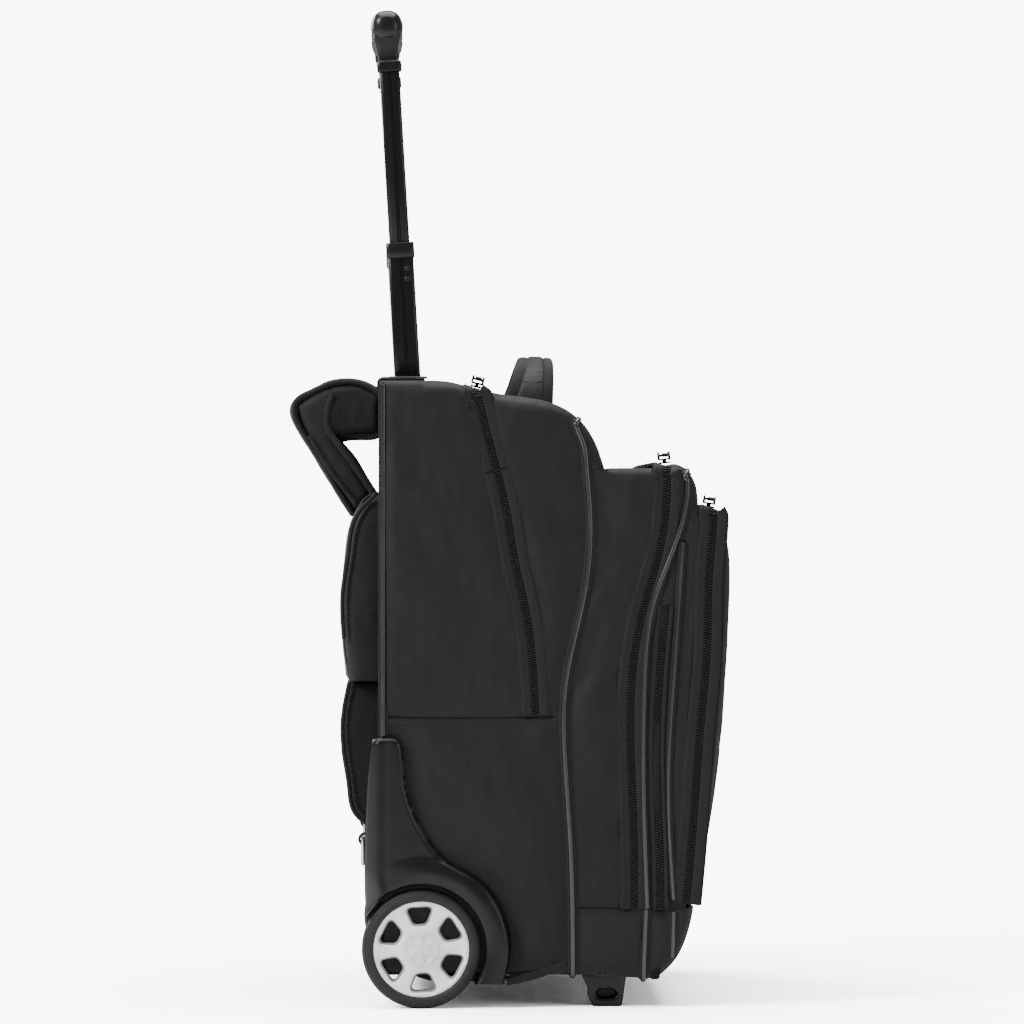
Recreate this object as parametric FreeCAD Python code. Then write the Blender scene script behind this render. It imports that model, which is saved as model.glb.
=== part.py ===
import FreeCAD, Part
import math
import os

# Rolling laptop case. Millimetres, +Z up, +X front, width along Y, left side = -Y.
V = FreeCAD.Vector

HALF_W = 165.0            # fabric body half width
WALL = 3.0                # sewn panel thickness
GAP = 0.4                 # clearance between parts that move against each other
TRIM = 1.2                # how far zip tapes stand proud of the cloth
PIPE = 2.4                # how far pipings stand proud of the cloth
RIM_Z = 409.0             # mouth of the main compartment
FOLD_Z = 75.0             # where the front lid folds
WHEEL_X, WHEEL_Z = -69.0, 45.0
TYRE_R, RIM_R, WELL_R = 45.0, 36.0, 48.6
WHEEL_OUT, WHEEL_IN = 172.0, 150.0
AXLE_R, RUN_FIT = 4.0, 0.05
POCKET_R, POCKET_IN = 60.0, 141.0
LEAN = 3.4                # backward lean of the pull handle, degrees
TUBE_X, TUBE_Z, TUBE_Y = -79.0, 481.0, 75.0

# Side-view curves (x, z) shared by neighbouring pieces
SEAM_MAIN = [(55.5, 409), (58.5, 360), (53, 310), (39.5, 245), (38.5, 205), (43, 129), (45, 25)]
ZIP_MAIN = [(-27, 470), (-17, 430), (-11.5, 409)]
ZIP_MAIN_LOW = [(-11.5, 409), (-4, 377), (2, 341), (10, 304.5), (15.5, 265), (18, 223)]
ZIP_LID = [(118.5, 411), (115, 360), (100, 302), (91, 245), (91, 180), (93, 120), (93, 75)]
ZIP_POCKET = [(153.5, 372), (150.5, 334), (148.5, 270), (144, 217), (140, 167), (136, 116), (132.5, 79)]


def edges(points):
    pts = [V(x, 0, z) for x, z in points]
    if len(pts) == 2:
        return [Part.makeLine(pts[0], pts[1])]
    curve = Part.BSplineCurve()
    curve.interpolate(pts)
    return [curve.toShape()]


def slab(runs, y0, y1):
    """Closed side-view outline made of straight and smooth runs, extruded from y0 to y1."""
    loop = []
    last = first = None
    for run in runs:
        if last is not None and last != run[0]:
            loop += edges([last, run[0]])
        loop += edges(run)
        first = first or run[0]
        last = run[-1]
    if last != first:
        loop += edges([last, first])
    face = Part.Face(Part.Wire(Part.__sortEdges__(loop)))
    solid = face.extrude(V(0, y1 - y0, 0))
    solid.translate(V(0, y0, 0))
    return solid


def poly(points, y0, y1):
    return slab([[a, b] for a, b in zip(points, points[1:] + points[:1])], y0, y1)


def box(x0, x1, y0, y1, z0, z1):
    return Part.makeBox(x1 - x0, y1 - y0, z1 - z0, V(x0, y0, z0))


def ycyl(x, z, r, y0, y1):
    return Part.makeCylinder(r, y1 - y0, V(x, y0, z), V(0, 1, 0))


def offset_curve(points, d):
    out = []
    for i, (x, z) in enumerate(points):
        ax, az = points[max(i - 1, 0)]
        bx, bz = points[min(i + 1, len(points) - 1)]
        n = math.hypot(bx - ax, bz - az)
        out.append((x - d * (bz - az) / n, z + d * (bx - ax) / n))
    return out


def band(points, a, b, y0, y1):
    """Strip that follows a side-view curve between offsets a and b."""
    return slab([offset_curve(points, a), offset_curve(points, b)[::-1]], y0, y1)


def mirrored(solid):
    return solid.mirror(V(0, 0, 0), V(0, 1, 0))


def both(solid):
    return Part.makeCompound([solid, mirrored(solid)])


def group(*shapes):
    return Part.makeCompound([s for shape in shapes for s in shape.Solids])


def fused(*solids):
    out = solids[0]
    for s in solids[1:]:
        out = out.fuse(s)
    return out.removeSplitter()


def wrap(points, a, b, proud, core, level, up=1):
    """Strip proud of a body on both sides and over its top (up=1) or under its floor (up=-1)."""
    y = HALF_W + proud
    strip = band(points, a, b, -y, y)
    wide = core(y)
    skin = core(y)
    skin.translate(V(0, 0, up * proud))
    z0, z1 = (level, level + 100) if up > 0 else (level - 100, level)
    over = strip.common(skin).cut(wide).common(box(-200, 200, -y, y, z0, z1))
    return strip.common(wide).cut(core()).fuse(over).removeSplitter()


# ---------------------------------------------------------------- bag cores
def main_core(w=HALF_W):
    top = [(-66, 477), (-46, 475.8), (-27, 470)]
    return slab([[(-100, 25), (-100, 477)], top, ZIP_MAIN, SEAM_MAIN], -w, w)


def lid_top_curve():
    return [(-26.2, 469.8), (-7, 466), (34, 458), (51, 447), (62, 432.5), (68, 418.5), (71, RIM_Z + GAP)]


def lid_core(w=HALF_W):
    cut = [(-10.9, RIM_Z + GAP), (-16.3, 430), (-26.2, 469.8)]
    return slab([cut, lid_top_curve()], -w, w)


def gusset_core(w=HALF_W):
    top = [(55.5, RIM_Z), (72, RIM_Z)]
    low = [(138, FOLD_Z), (133, 54), (120, 31), (109, 22)]
    return slab([top, [(74, 411), (118.5, 411)], ZIP_LID, low, SEAM_MAIN[::-1]], -w, w)


def front_core(w=HALF_W):
    rear = [(x + GAP, z) for x, z in ZIP_LID[:-1]] + [(93 + GAP, FOLD_Z + GAP)]
    top = [(118.9, 411), (124, 413), (137, 404.5), (142, 382)]
    rear[0] = top[0]
    return slab([rear[::-1], top, [(153.5, 378), (153.5, 372)], ZIP_POCKET,
                 [(132.5, 79), (132.5, FOLD_Z + GAP)]], -w, w)


def flap_core(w=HALF_W):
    rear = offset_curve(ZIP_POCKET, GAP)
    face = [(154.2, 378), (162.5, 359), (166, 315), (162.5, 249), (156, 179), (145, 110), (137.5, 79)]
    return slab([rear[::-1], face], -w, w)


def wheel_pocket(r, y_in):
    disc = ycyl(WHEEL_X, WHEEL_Z, r, y_in, HALF_W + 20)
    low = box(-101, WHEEL_X + r, y_in, HALF_W + 20, 15, WHEEL_Z)
    back = box(-101, WHEEL_X, y_in, HALF_W + 20, 15, WHEEL_Z + r)
    return fused(disc, low, back)


def pockets(r, y_in):
    p = wheel_pocket(r, y_in)
    return p.fuse(mirrored(p))


# ---------------------------------------------------------------- bag panels
def main_shell():
    cavity = slab([[(-100 + WALL, 25 + WALL), (-100 + WALL, 473)], [(-66, 473), (-46, 472.2), (-15, 462)],
                   [(-5, RIM_Z + 1), (52, RIM_Z + 1)],
                   [(x - WALL, z) for x, z in SEAM_MAIN[1:-1]] + [(41, 25 + WALL)]],
                  WALL - HALF_W, HALF_W - WALL)
    cavity = cavity.cut(pockets(POCKET_R + WALL, POCKET_IN - WALL))
    slots = both(box(-100, -50, TUBE_Y - 10, TUBE_Y + 10, 470, 480))
    return main_core().cut(pockets(POCKET_R, POCKET_IN)).cut(cavity).cut(slots)


def top_lid():
    inner = slab([[(-40, RIM_Z - 1), (-40, 469)], [(-7, 462.6), (33, 454.5), (50, 443), (59, 430), (66, RIM_Z - 1)]],
                 WALL - HALF_W, HALF_W - WALL)
    return lid_core().cut(inner)


def front_gusset():
    cavity = poly([(30, 406), (125, 406), (125, 50), (108, 28), (30, 28)], WALL - HALF_W, HALF_W - WALL)
    return gusset_core().cut(cavity)


def front_lid():
    rear = box(80, 116, 5 - HALF_W, HALF_W - 5, FOLD_Z + 8, 404)
    pocket = box(120, 170, 5 - HALF_W, HALF_W - 5, 88, 368)
    return front_core().cut(rear).cut(pocket)


def pocket_flap():
    inner = slab([[(130, 84), (146, 366)], [(154, 366), (159.5, 352), (162.8, 315), (159.4, 249), (153, 179),
                 (142, 112), (136, 84)]], 5 - HALF_W, HALF_W - 5)
    return flap_core().cut(inner)


# ---------------------------------------------------------------- zips and pipings
def zip_parts():
    up_main = [(-29, 478)] + ZIP_MAIN
    up_lid = [(-28.2, 478), (-26.2, 469.8), (-16.3, 430), (-10.9, RIM_Z + GAP)]
    up_front = [(120.5, 420), (118.9, 411)] + [(x + GAP, z) for x, z in ZIP_LID[1:-1]] + [(93 + GAP, FOLD_Z + GAP)]
    up_pocket = [(153.5, 390)] + ZIP_POCKET
    up_flap = [(153.9, 390)] + offset_curve(ZIP_POCKET, GAP)
    mid = [(117, 306), (111.5, 240), (110, 190), (112, 129), (113, FOLD_Z + GAP)]
    mid_low = [(113, FOLD_Z - GAP), (111, 55), (109, 15)]
    return {
        "main_zip_tape": group(wrap(up_main, -5, -GAP, TRIM, main_core, 468),
                               both(band(ZIP_MAIN_LOW, -5, 5, HALF_W, HALF_W + TRIM))),
        "lid_zip_tape": wrap(up_lid, GAP, 5, TRIM, lid_core, 467),
        "gusset_zip_tapes": group(wrap([(120.5, 420)] + ZIP_LID, -5, -GAP, TRIM, gusset_core, 410),
                                  wrap(mid_low, -4, 4, TRIM, gusset_core, 26, -1)),
        "front_zip_tapes": group(wrap(up_front, GAP, 5, TRIM, front_core, 409),
                                 wrap(up_pocket, -5, -GAP, TRIM, front_core, 377)),
        "flap_zip_tape": wrap(up_flap, GAP, 4, TRIM, flap_core, 372),
        "expander_zip": both(band(mid, -4, 4, HALF_W, HALF_W + TRIM)),
    }


def piping_parts():
    low = [(45, 15)]
    back = [(-97, 470), (-98, 340), (-98, 207)]
    lid = [(38, 470), (45, 450), (52, 438), (55, RIM_Z + GAP)]
    front = [(138, 413), (134, 384), (122, 344), (108, 309), (101, 250), (100, 192), (103, FOLD_Z + GAP)]
    front_low = [(102, FOLD_Z - GAP), (101, 50), (100, 12)]
    pocket = [(130, 354), (127, 309), (123, 250), (119, 180), (120, 129), (123, 82)]
    ends = [SEAM_MAIN[0]] + SEAM_MAIN[1:-1] + [(45, 25)] + low
    return {
        "piping_case": group(both(band(back, -2, 2, HALF_W, HALF_W + PIPE)),
                             wrap(ends, 0, 4, PIPE, gusset_core, 30, -1).cut(main_core()),
                             wrap(front_low, -2, 2, PIPE, gusset_core, 30, -1)),
        "piping_lid": wrap(lid, -2, 2, PIPE, lid_core, 445),
        "piping_front": wrap(front, -2, 2, PIPE, front_core, 395),
        "piping_pocket": both(band(pocket, -2, 2, HALF_W, HALF_W + PIPE)),
    }


# ---------------------------------------------------------------- pull handle
def upright_tube(y, depth, width, wall, z0, z1):
    x = TUBE_X
    outer = box(x - depth / 2, x + depth / 2, y - width / 2, y + width / 2, z0, z1)
    if wall:
        d, w = depth / 2 - wall, width / 2 - wall
        outer = outer.cut(box(x - d, x + d, y - w, y + w, z0 - 1, z1 + 1))
    return outer


def lean(shape):
    out = shape.copy()
    out.rotate(V(TUBE_X, 0, TUBE_Z), V(0, 1, 0), -LEAN)
    return out


def ring(outer, inner, y, z0, z1):
    return upright_tube(y, outer[0], outer[1], 0, z0, z1).cut(upright_tube(y, inner[0], inner[1], 0, z0 - 1, z1 + 1))


def handle_parts():
    y, x = TUBE_Y, TUBE_X
    collar = upright_tube(-y, 22, 16, 0, 575, 587).cut(upright_tube(-y, 20, 14, 0, 574, 580))
    collar = collar.cut(upright_tube(-y, 16.1, 10.6, 0, 570, 590))
    bar = box(x - 12.5, x + 12.5, -88, 88, 742, 768)
    bar = bar.makeFillet(9, [e for e in bar.Edges if e.Length > 100])
    neck = box(x - 6.5, x + 6.5, -y - 6, -y + 6, 728, 744)
    bore = Part.makeCylinder(2.5, 30, V(x, -y, 725))
    cuff = ring((19, 13), (15.5, 10), -y, 720, 728)
    grip = fused(bar, neck, mirrored(neck), cuff, mirrored(cuff)).cut(both(bore))
    grip = grip.cut(box(x - 4, x + 4, -80, 80, 745, 757)).cut(box(x - 8.3, x + 8.3, -25.3, 25.3, 756, 770))
    rod = Part.makeCylinder(2, 192, V(x, -y, 560))
    rods = fused(box(x - 3, x + 3, -78, 78, 750, 756), rod, mirrored(rod))
    button = box(x - 8, x + 8, -25, 25, 760.5, 771).fuse(box(x - 3, x + 3, -8, 8, 756, 760.5))
    return {
        "outer_tubes": lean(both(upright_tube(-y, 24.6, 18.6, 2, 60, 476))),
        "lower_tubes": lean(both(upright_tube(-y, 20, 14, 1, 400, 580))),
        "lower_collars": lean(both(collar)),
        "upper_tubes": lean(both(upright_tube(-y, 15.5, 10, 1, 525, 728))),
        "grip": lean(grip),
        "release_button": lean(button),
        "push_rods": lean(rods),
    }


def bezel():
    plate = box(-103, -66, -100, 100, 477, 481).fuse(box(-103, -100, -100, 100, 467, 478))
    holes = lean(both(upright_tube(-TUBE_Y, 20.6, 14.6, 0, 460, 500)))
    return plate.cut(holes).cut(bezel_screws())


def bezel_screws():
    one = []
    for x in (-96, -71):
        one.append(Part.makeCylinder(3, 1.4, V(x, -94, 479.6)).fuse(Part.makeCylinder(1.5, 9, V(x, -94, 470.6))))
    return Part.makeCompound(one + [mirrored(s) for s in one])


# ---------------------------------------------------------------- wheels and housings
def housing():
    side = [(-90, 201), (-83, 176), (-69, 137), (-48.5, 112), (-22, 96), (-3, 64), (-0.5, 40), (-6, 18.5)]
    base = [(-28, 18.7), (-68, 21), (-84, 28), (-97, 36)]
    back = [(-111, 64), (-112, 98), (-111, 141), (-109, 178), (-106, 204)]
    outline = [side, base, back]
    block = slab(outline, -170, -POCKET_IN)
    fender = slab(outline, -174, -170).common(ycyl(WHEEL_X, WHEEL_Z, 68, -175, -169))
    fixed = main_core().cut(pockets(POCKET_R, POCKET_IN))
    well = ycyl(WHEEL_X, WHEEL_Z, WELL_R, -180, -147)
    boss = ycyl(WHEEL_X, WHEEL_Z, 7, -150.7, -146)
    axle = ycyl(WHEEL_X, WHEEL_Z, AXLE_R, -151, -143)
    return block.fuse(fender).cut(fixed).cut(well).fuse(boss).cut(axle).removeSplitter()


def window(k):
    corners = [(19.5, -4.5), (31.5, -8), (31.5, 8), (19.5, 4.5)]
    pts = [(WHEEL_X + t, WHEEL_Z + r) for r, t in corners]
    cut = poly(pts, -175, -140)
    cut.rotate(V(WHEEL_X, 0, WHEEL_Z), V(0, 1, 0), 60 * k)
    return cut


def wheel_parts():
    x, z = WHEEL_X, WHEEL_Z
    tyre = ycyl(x, z, TYRE_R, -WHEEL_OUT, -WHEEL_IN)
    tyre = tyre.makeFillet(4, tyre.Edges[0:1] + tyre.Edges[2:3]).cut(ycyl(x, z, RIM_R, -180, -140))
    rim = ycyl(x, z, RIM_R, -171, -151).cut(ycyl(x, z, 33, -162, -150).cut(ycyl(x, z, 15, -163, -149)))
    rim = rim.cut(ycyl(x, z, 11, -167, -150)).cut(ycyl(x, z, 9, -172, -166))
    for k in range(6):
        rim = rim.cut(window(k))
    race = [ycyl(x, z, 11, y, y + 6).cut(ycyl(x, z, AXLE_R + RUN_FIT, y - 1, y + 7)) for y in (-167, -157)]
    return {
        "tyre": tyre,
        "rim": rim,
        "bearings": Part.makeCompound(race),
        "hub_cap": ycyl(x, z, 12, -172.2, -171),
        "axles": ycyl(x, z, AXLE_R, -167.3, -143).fuse(ycyl(x, z, 7, -168.8, -167.3)),
        "wheel_housing": housing(),
        "front_feet": poly([(51, 27), (58, 12), (58.5, 6), (61, 0), (84, 0), (88, 27)], -153, -127).cut(gusset_core()),
    }


# ---------------------------------------------------------------- back, straps, rings
def back_parts():
    pad = [(-100, 390), (-104, 390), (-118, 375), (-125, 344), (-129, 316), (-128, 280), (-124, 247), (-100, 247)]
    lumbar = [(-124, 246.5), (-129, 217), (-128, 192), (-124, 166), (-120, 147), (-108, 136)]
    outer = [(-100, 467), (-116, 475), (-133, 475), (-152, 468), (-164.9, 460), (-158, 440), (-138, 406), (-119, 376)]
    inner = [(-101, 454), (-103, 440), (-116, 438), (-134, 434), (-125, 422), (-116, 408), (-106, 392)]
    strap = slab([outer, inner[::-1], [(-101, 454), (-100, 455)]], -105, -45)
    back_pad = poly(pad, -138, 138)
    tab = box(-117, -100, -117, -103, 121, 129).cut(ycyl(-113.5, 125, 1.55, -120, -100))
    return {
        "back_pad": back_pad,
        "lumbar_pad": slab([[(-100, 246.5), (-124, 246.5)], lumbar, [(-108, 136), (-100, 136)]], -125, 125),
        "shoulder_strap": strap.cut(bezel()).cut(back_pad).cut(box(-100, 0, -150, 0, 300, 500)),
        "ring_tabs": both(tab),
        "d_ring": d_ring(),
    }


def d_ring():
    def disc(r):
        return Part.makeCylinder(r, 3, V(-115, -110, 118.5), V(1, 0, 0))
    bow = disc(14).cut(disc(11)).common(box(-120, -100, -130, -90, 100, 118.5))
    legs = [box(-115, -112, y, y + 3, 118.5, 125) for y in (-124, -99)]
    return fused(bow, legs[0], legs[1], ycyl(-113.5, 125, 1.5, -124, -96))


# ---------------------------------------------------------------- inside
def inside_parts():
    clip = box(-97, 60, -137, 137, 28, 472)
    panel = lean(box(-65, -63, -137, 137, 0, 473)).common(clip)
    sleeve = box(-75, -2, -134, 134, 113, 380).cut(lean(box(-200, -63, -137, 137, 0, 480)))
    sleeve = sleeve.cut(box(-36.5, -8, -130, 130, 117, 390))
    strap = fused(box(-46, 0, -20, 20, 384, 387), box(-2, 0, -20, 20, 330, 385), box(-46, -44, -20, 20, 380, 385))
    tubes = lean(both(upright_tube(-TUBE_Y, 24.6, 18.6, 0, 55, 480)))
    bracket = box(-76, -40, -TUBE_Y - 16, -TUBE_Y + 16, 28, 75).cut(tubes).cut(lean(box(-65, 0, -137, 137, 0, 473)))
    backing = box(43.6, 46.6, -150, 150, 112, 262).cut(main_core())
    pouch = box(46.6, 58, -140, 140, 120, 240).cut(box(46, 55, -137, 137, 123, 250))
    return {
        "back_board": box(-97, -94.5, -135, 135, 28, 468),
        "trolley_panel": panel,
        "laptop_sleeve": sleeve,
        "sleeve_strap": strap,
        "divider_panel": box(4, 7, -150, 150, 30.5, 390),
        "base_board": box(-34, 39, -137, 137, 28, 30.5),
        "organizer": backing.fuse(pouch).removeSplitter(),
        "tube_brackets": both(bracket),
    }


# ---------------------------------------------------------------- carry handle and sliders
def arch(drop, thick, x0, x1):
    """Handle arch across the width: top line lowered by drop, thick downwards."""
    runs = []
    for d, side in ((drop, 71.6 - drop), (drop + thick, 71.6 - drop - thick)):
        pts = [V(0, -side, 466), V(0, 11 - side, 480 - d / 2), V(0, 0, 495.5 - d), V(0, side - 11, 480 - d / 2),
               V(0, side, 466)]
        curve = Part.BSplineCurve()
        curve.interpolate(pts)
        runs.append((curve.toShape(), pts))
    (top, p), (low, q) = runs
    wire = Part.Wire(Part.__sortEdges__([top, low, Part.makeLine(p[0], q[0]), Part.makeLine(p[-1], q[-1])]))
    solid = Part.Face(wire).extrude(V(x1 - x0, 0, 0))
    solid.translate(V(x0, 0, 0))
    return solid


def carry_handle_parts():
    x, z, y = 14, 467, 66.5
    eye = both(ycyl(x, z, 3.5, -y - 5.1, -y + 5.1))
    bore = both(ycyl(x, z, 1.5 + RUN_FIT, -y - 9, -y + 9))
    strap = arch(0, 5, -4, 33).cut(box(-10, 8, -90, 90, 460, 474)).cut(box(20, 40, -90, 90, 460, 474))
    lugs = box(x - 4, x + 4, -y - 8.5, -y - 5.5, 450, 470).fuse(box(x - 4, x + 4, -y + 5.5, -y + 8.5, 450, 470))
    anchor = lugs.fuse(ycyl(x, z, 1.5, -y - 8.5, -y + 8.5)).cut(lid_core())
    return {
        "carry_strap": strap.fuse(eye).cut(bore).removeSplitter(),
        "carry_grip": arch(-1.5, 1.5, 11, 27).common(box(0, 40, -42, 42, 460, 510)),
        "handle_anchors": both(anchor),
    }


def slider(x, y, z, tilt):
    """Zip slider on a top run, with its hinged puller lying along -Y."""
    body = box(-5, 5, -7, 7, 0, 4)
    for side in (-5, 3.2):
        body = body.fuse(box(side, side + 1.8, -2.5, 2.5, 3, 8.5))
    body = body.cut(Part.makeCylinder(1 + RUN_FIT, 20, V(-10, 0, 6.3), V(1, 0, 0)))
    puller = Part.makeCylinder(1, 10, V(-5, 0, 6.3), V(1, 0, 0)).fuse(box(-2.8, 2.8, -26, 0, 5.5, 7.1))
    out = []
    for s in (body.removeSplitter(), puller.removeSplitter()):
        s.rotate(V(0, 0, 0), V(0, 1, 0), tilt)
        s.translate(V(x, y, z))
        out.append(s)
    return out


def all_parts():
    nodes = {"main_shell": main_shell().cut(bezel_screws()), "top_lid": top_lid(), "front_gusset": front_gusset(),
             "front_lid": front_lid(), "pocket_flap": pocket_flap(), "trolley_bezel": bezel(),
             "bezel_screws": bezel_screws()}
    nodes.update(zip_parts())
    nodes.update(piping_parts())
    nodes["front_zip_tapes"] = nodes["front_zip_tapes"].cut(nodes["piping_front"])
    nodes.update(handle_parts())
    nodes.update(carry_handle_parts())
    paired = wheel_parts()
    for name in ("axles", "front_feet"):
        nodes[name] = both(paired.pop(name))
    nodes.update(back_parts())
    nodes.update(inside_parts())
    for name in ("shoulder_strap", "d_ring"):
        paired[name] = nodes.pop(name)
    for name, solid in paired.items():
        nodes[name + "_left"] = solid
        nodes[name + "_right"] = mirrored(solid)
    for name, x, y, z, tilt in (("main", -26.6, -125, 472.6, 14), ("front", 118.8, -115, 414.4, -6),
                                ("pocket", 153.0, -105, 380.6, 10)):
        nodes[name + "_slider"], nodes[name + "_puller"] = slider(x, y, z, tilt)
    return nodes


def export():
    os.makedirs("parts", exist_ok=True)
    for name, solid in all_parts().items():
        solid.exportStep("parts/" + name + ".step")


export()
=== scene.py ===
import math

import bmesh
import bpy
import numpy as np
from mathutils import Matrix, Vector, noise
from mathutils.geometry import delaunay_2d_cdt


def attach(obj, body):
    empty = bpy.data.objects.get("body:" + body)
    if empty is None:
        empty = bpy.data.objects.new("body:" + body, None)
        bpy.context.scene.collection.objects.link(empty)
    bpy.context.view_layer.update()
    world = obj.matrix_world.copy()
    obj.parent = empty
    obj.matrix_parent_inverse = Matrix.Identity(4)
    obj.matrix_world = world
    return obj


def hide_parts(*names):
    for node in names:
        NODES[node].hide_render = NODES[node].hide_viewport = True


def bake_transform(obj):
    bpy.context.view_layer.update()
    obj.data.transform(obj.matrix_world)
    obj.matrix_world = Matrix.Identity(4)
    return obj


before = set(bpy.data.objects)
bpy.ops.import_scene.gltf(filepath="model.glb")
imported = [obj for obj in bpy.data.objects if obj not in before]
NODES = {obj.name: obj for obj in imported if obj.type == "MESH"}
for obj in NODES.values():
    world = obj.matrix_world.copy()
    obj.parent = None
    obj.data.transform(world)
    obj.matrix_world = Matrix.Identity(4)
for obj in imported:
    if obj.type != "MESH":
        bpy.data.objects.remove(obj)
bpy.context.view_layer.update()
MM = 0.001
FINE = 2.6      # spacing of points on cloth sides, mm

# Side-view curves (x, z) in mm, top to bottom, as the CAD model has them
HALF_W = 165.0
RIM_Z, FOLD_Z, GAP = 409.0, 75.0, 0.4
SEAM_MAIN = [(55.5, 409), (58.5, 360), (53, 310), (39.5, 245), (38.5, 205), (43, 129), (45, 25)]
ZIP_MAIN = [(-27, 470), (-17, 430), (-11.5, 409)]
ZIP_MAIN_LOW = [(-11.5, 409), (-4, 377), (2, 341), (10, 304.5), (15.5, 265), (18, 223)]
ZIP_LID = [(118.5, 411), (115, 360), (100, 302), (91, 245), (91, 180), (93, 120), (93, 75)]
ZIP_POCKET = [(153.5, 372), (150.5, 334), (148.5, 270), (144, 217), (140, 167), (136, 116), (132.5, 79)]
MAIN_TOP = [(-66, 477), (-46, 475.8), (-27, 470)]
LID_TOP = [(-26.4, 469.9), (-7, 466), (34, 458), (51, 447), (62, 432.5), (68, 418.5), (71, RIM_Z)]
WHEEL = (-69.0, 45.0)
LEAN = math.radians(3.4)
TUBE_X, TUBE_Z, TUBE_Y = -79.0, 481.0, 75.0


# ------------------------------------------------------------------ curves
def arc_length(line):
    """Length run along a polyline up to each of its points."""
    return np.concatenate([[0], np.cumsum(np.hypot(*np.diff(line, axis=0).T))])


def directions(line):
    """Unit tangents of a sampled curve, and the normals on their left."""
    t = np.gradient(line, axis=0)
    t /= np.hypot(*t.T)[:, None]
    return t, np.stack([-t[:, 1], t[:, 0]], 1)


def signed_power(value, power):
    """Power that keeps the sign, for squarish round sections."""
    return abs(value) ** power * (1 if value > 0 else -1)


def spline(points, step=2.5):
    """Natural cubic spline through the points, sampled about every step."""
    p = np.array(points, float)
    if len(p) < 3:
        n = max(int(np.hypot(*(p[1] - p[0])) / step), 1)
        return p[0] + (p[1] - p[0]) * np.linspace(0, 1, n + 1)[:, None]
    t = arc_length(p)
    h = np.diff(t)
    n = len(p)
    a = np.eye(n)
    b = np.zeros((n, p.shape[1]))
    for i in range(1, n - 1):
        a[i, i - 1:i + 2] = h[i - 1], 2 * (h[i - 1] + h[i]), h[i]
        b[i] = 6 * ((p[i + 1] - p[i]) / h[i] - (p[i] - p[i - 1]) / h[i - 1])
    m = np.linalg.solve(a, b)
    q = np.linspace(0, t[-1], max(int(t[-1] / step), 2) + 1)
    i = np.clip(np.searchsorted(t, q, side="right") - 1, 0, n - 2)
    u, v = (t[i + 1] - q)[:, None], (q - t[i])[:, None]
    hh = h[i][:, None]
    return (m[i] * u ** 3 + m[i + 1] * v ** 3) / (6 * hh) + (p[i] / hh - m[i] * hh / 6) * u \
        + (p[i + 1] / hh - m[i + 1] * hh / 6) * v


def outline(*runs, step=2.5):
    """Closed outline from runs of points; returns points and a run number for each edge."""
    pts, tags = [], []
    runs = [list(map(tuple, r)) for r in runs]
    for k, run in enumerate(runs):
        s = spline(run, step)
        pts += [tuple(q) for q in s[:-1]]
        tags += [k] * (len(s) - 1)
        nxt = runs[(k + 1) % len(runs)][0]
        if math.dist(run[-1], nxt) > 0.01:
            s = spline([run[-1], nxt], step)
            pts += [tuple(q) for q in s[:-1]]
            tags += [k + 0.5] * (len(s) - 1)
    return np.array(pts), tags


def distance(p, line):
    """Distance of each point in p from a polyline."""
    p = np.asarray(p, float)
    best = np.full(len(p), 1e9)
    line = np.asarray(line, float)
    for a, b in zip(line[:-1], line[1:]):
        d = b - a
        t = np.clip(((p - a) @ d) / max(d @ d, 1e-9), 0, 1)
        best = np.minimum(best, np.hypot(*(p - a - t[:, None] * d).T))
    return best


def signed_area(loop):
    """Twice the area of an outline, positive when it runs counter-clockwise."""
    return np.sum(loop[:, 0] * np.roll(loop[:, 1], -1) - np.roll(loop[:, 0], -1) * loop[:, 1])


def round_section(r, centre=0.0, flat=1.0):
    """Twelve-sided (across, out) section of a cord, flattened by flat."""
    return [(r * math.cos(a), centre + flat * r * math.sin(a))
            for a in np.linspace(0, 2 * math.pi, 13)[:-1]]


def inside(p, poly):
    """True for each point of p that lies in the polygon."""
    x, y = p[:, 0], p[:, 1]
    ok = np.zeros(len(p), bool)
    for (x0, y0), (x1, y1) in zip(poly, np.roll(poly, -1, axis=0)):
        hit = ((y0 > y) != (y1 > y)) & (x < (x1 - x0) * (y - y0) / (y1 - y0 + 1e-12) + x0)
        ok ^= hit
    return ok


def fill(loop, holes=(), step=FINE):
    """Even triangles over an outline with holes: returns points (boundary first) and triangles."""
    pts = [tuple(q) for q in loop]
    edges = [(i, (i + 1) % len(loop)) for i in range(len(loop))]
    for hole in holes:
        k = len(pts)
        pts += [tuple(q) for q in hole]
        edges += [(k + i, k + (i + 1) % len(hole)) for i in range(len(hole))]
    lo, hi = loop.min(0), loop.max(0)
    rows = np.arange(lo[1], hi[1], step * 0.866)
    grid = np.array([(x + (step / 2 if j % 2 else 0), z) for j, z in enumerate(rows)
                     for x in np.arange(lo[0], hi[0], step)])
    keep = inside(grid, loop)
    for hole in holes:
        keep &= ~inside(grid, hole)
    near = distance(grid, np.vstack([loop, loop[:1]]))
    for hole in holes:
        near = np.minimum(near, distance(grid, np.vstack([hole, hole[:1]])))
    grid = grid[keep & (near > step * 0.55)]
    pts += [tuple(q) for q in grid]
    out = delaunay_2d_cdt([Vector(q) for q in pts], edges, [], 0, 1e-5)
    co = np.array([tuple(v) for v in out[0]])
    tri = np.array(out[2])
    mid = co[tri].mean(1)
    good = inside(mid, loop)
    for hole in holes:
        good &= ~inside(mid, hole)
    return co, tri[good]


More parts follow.
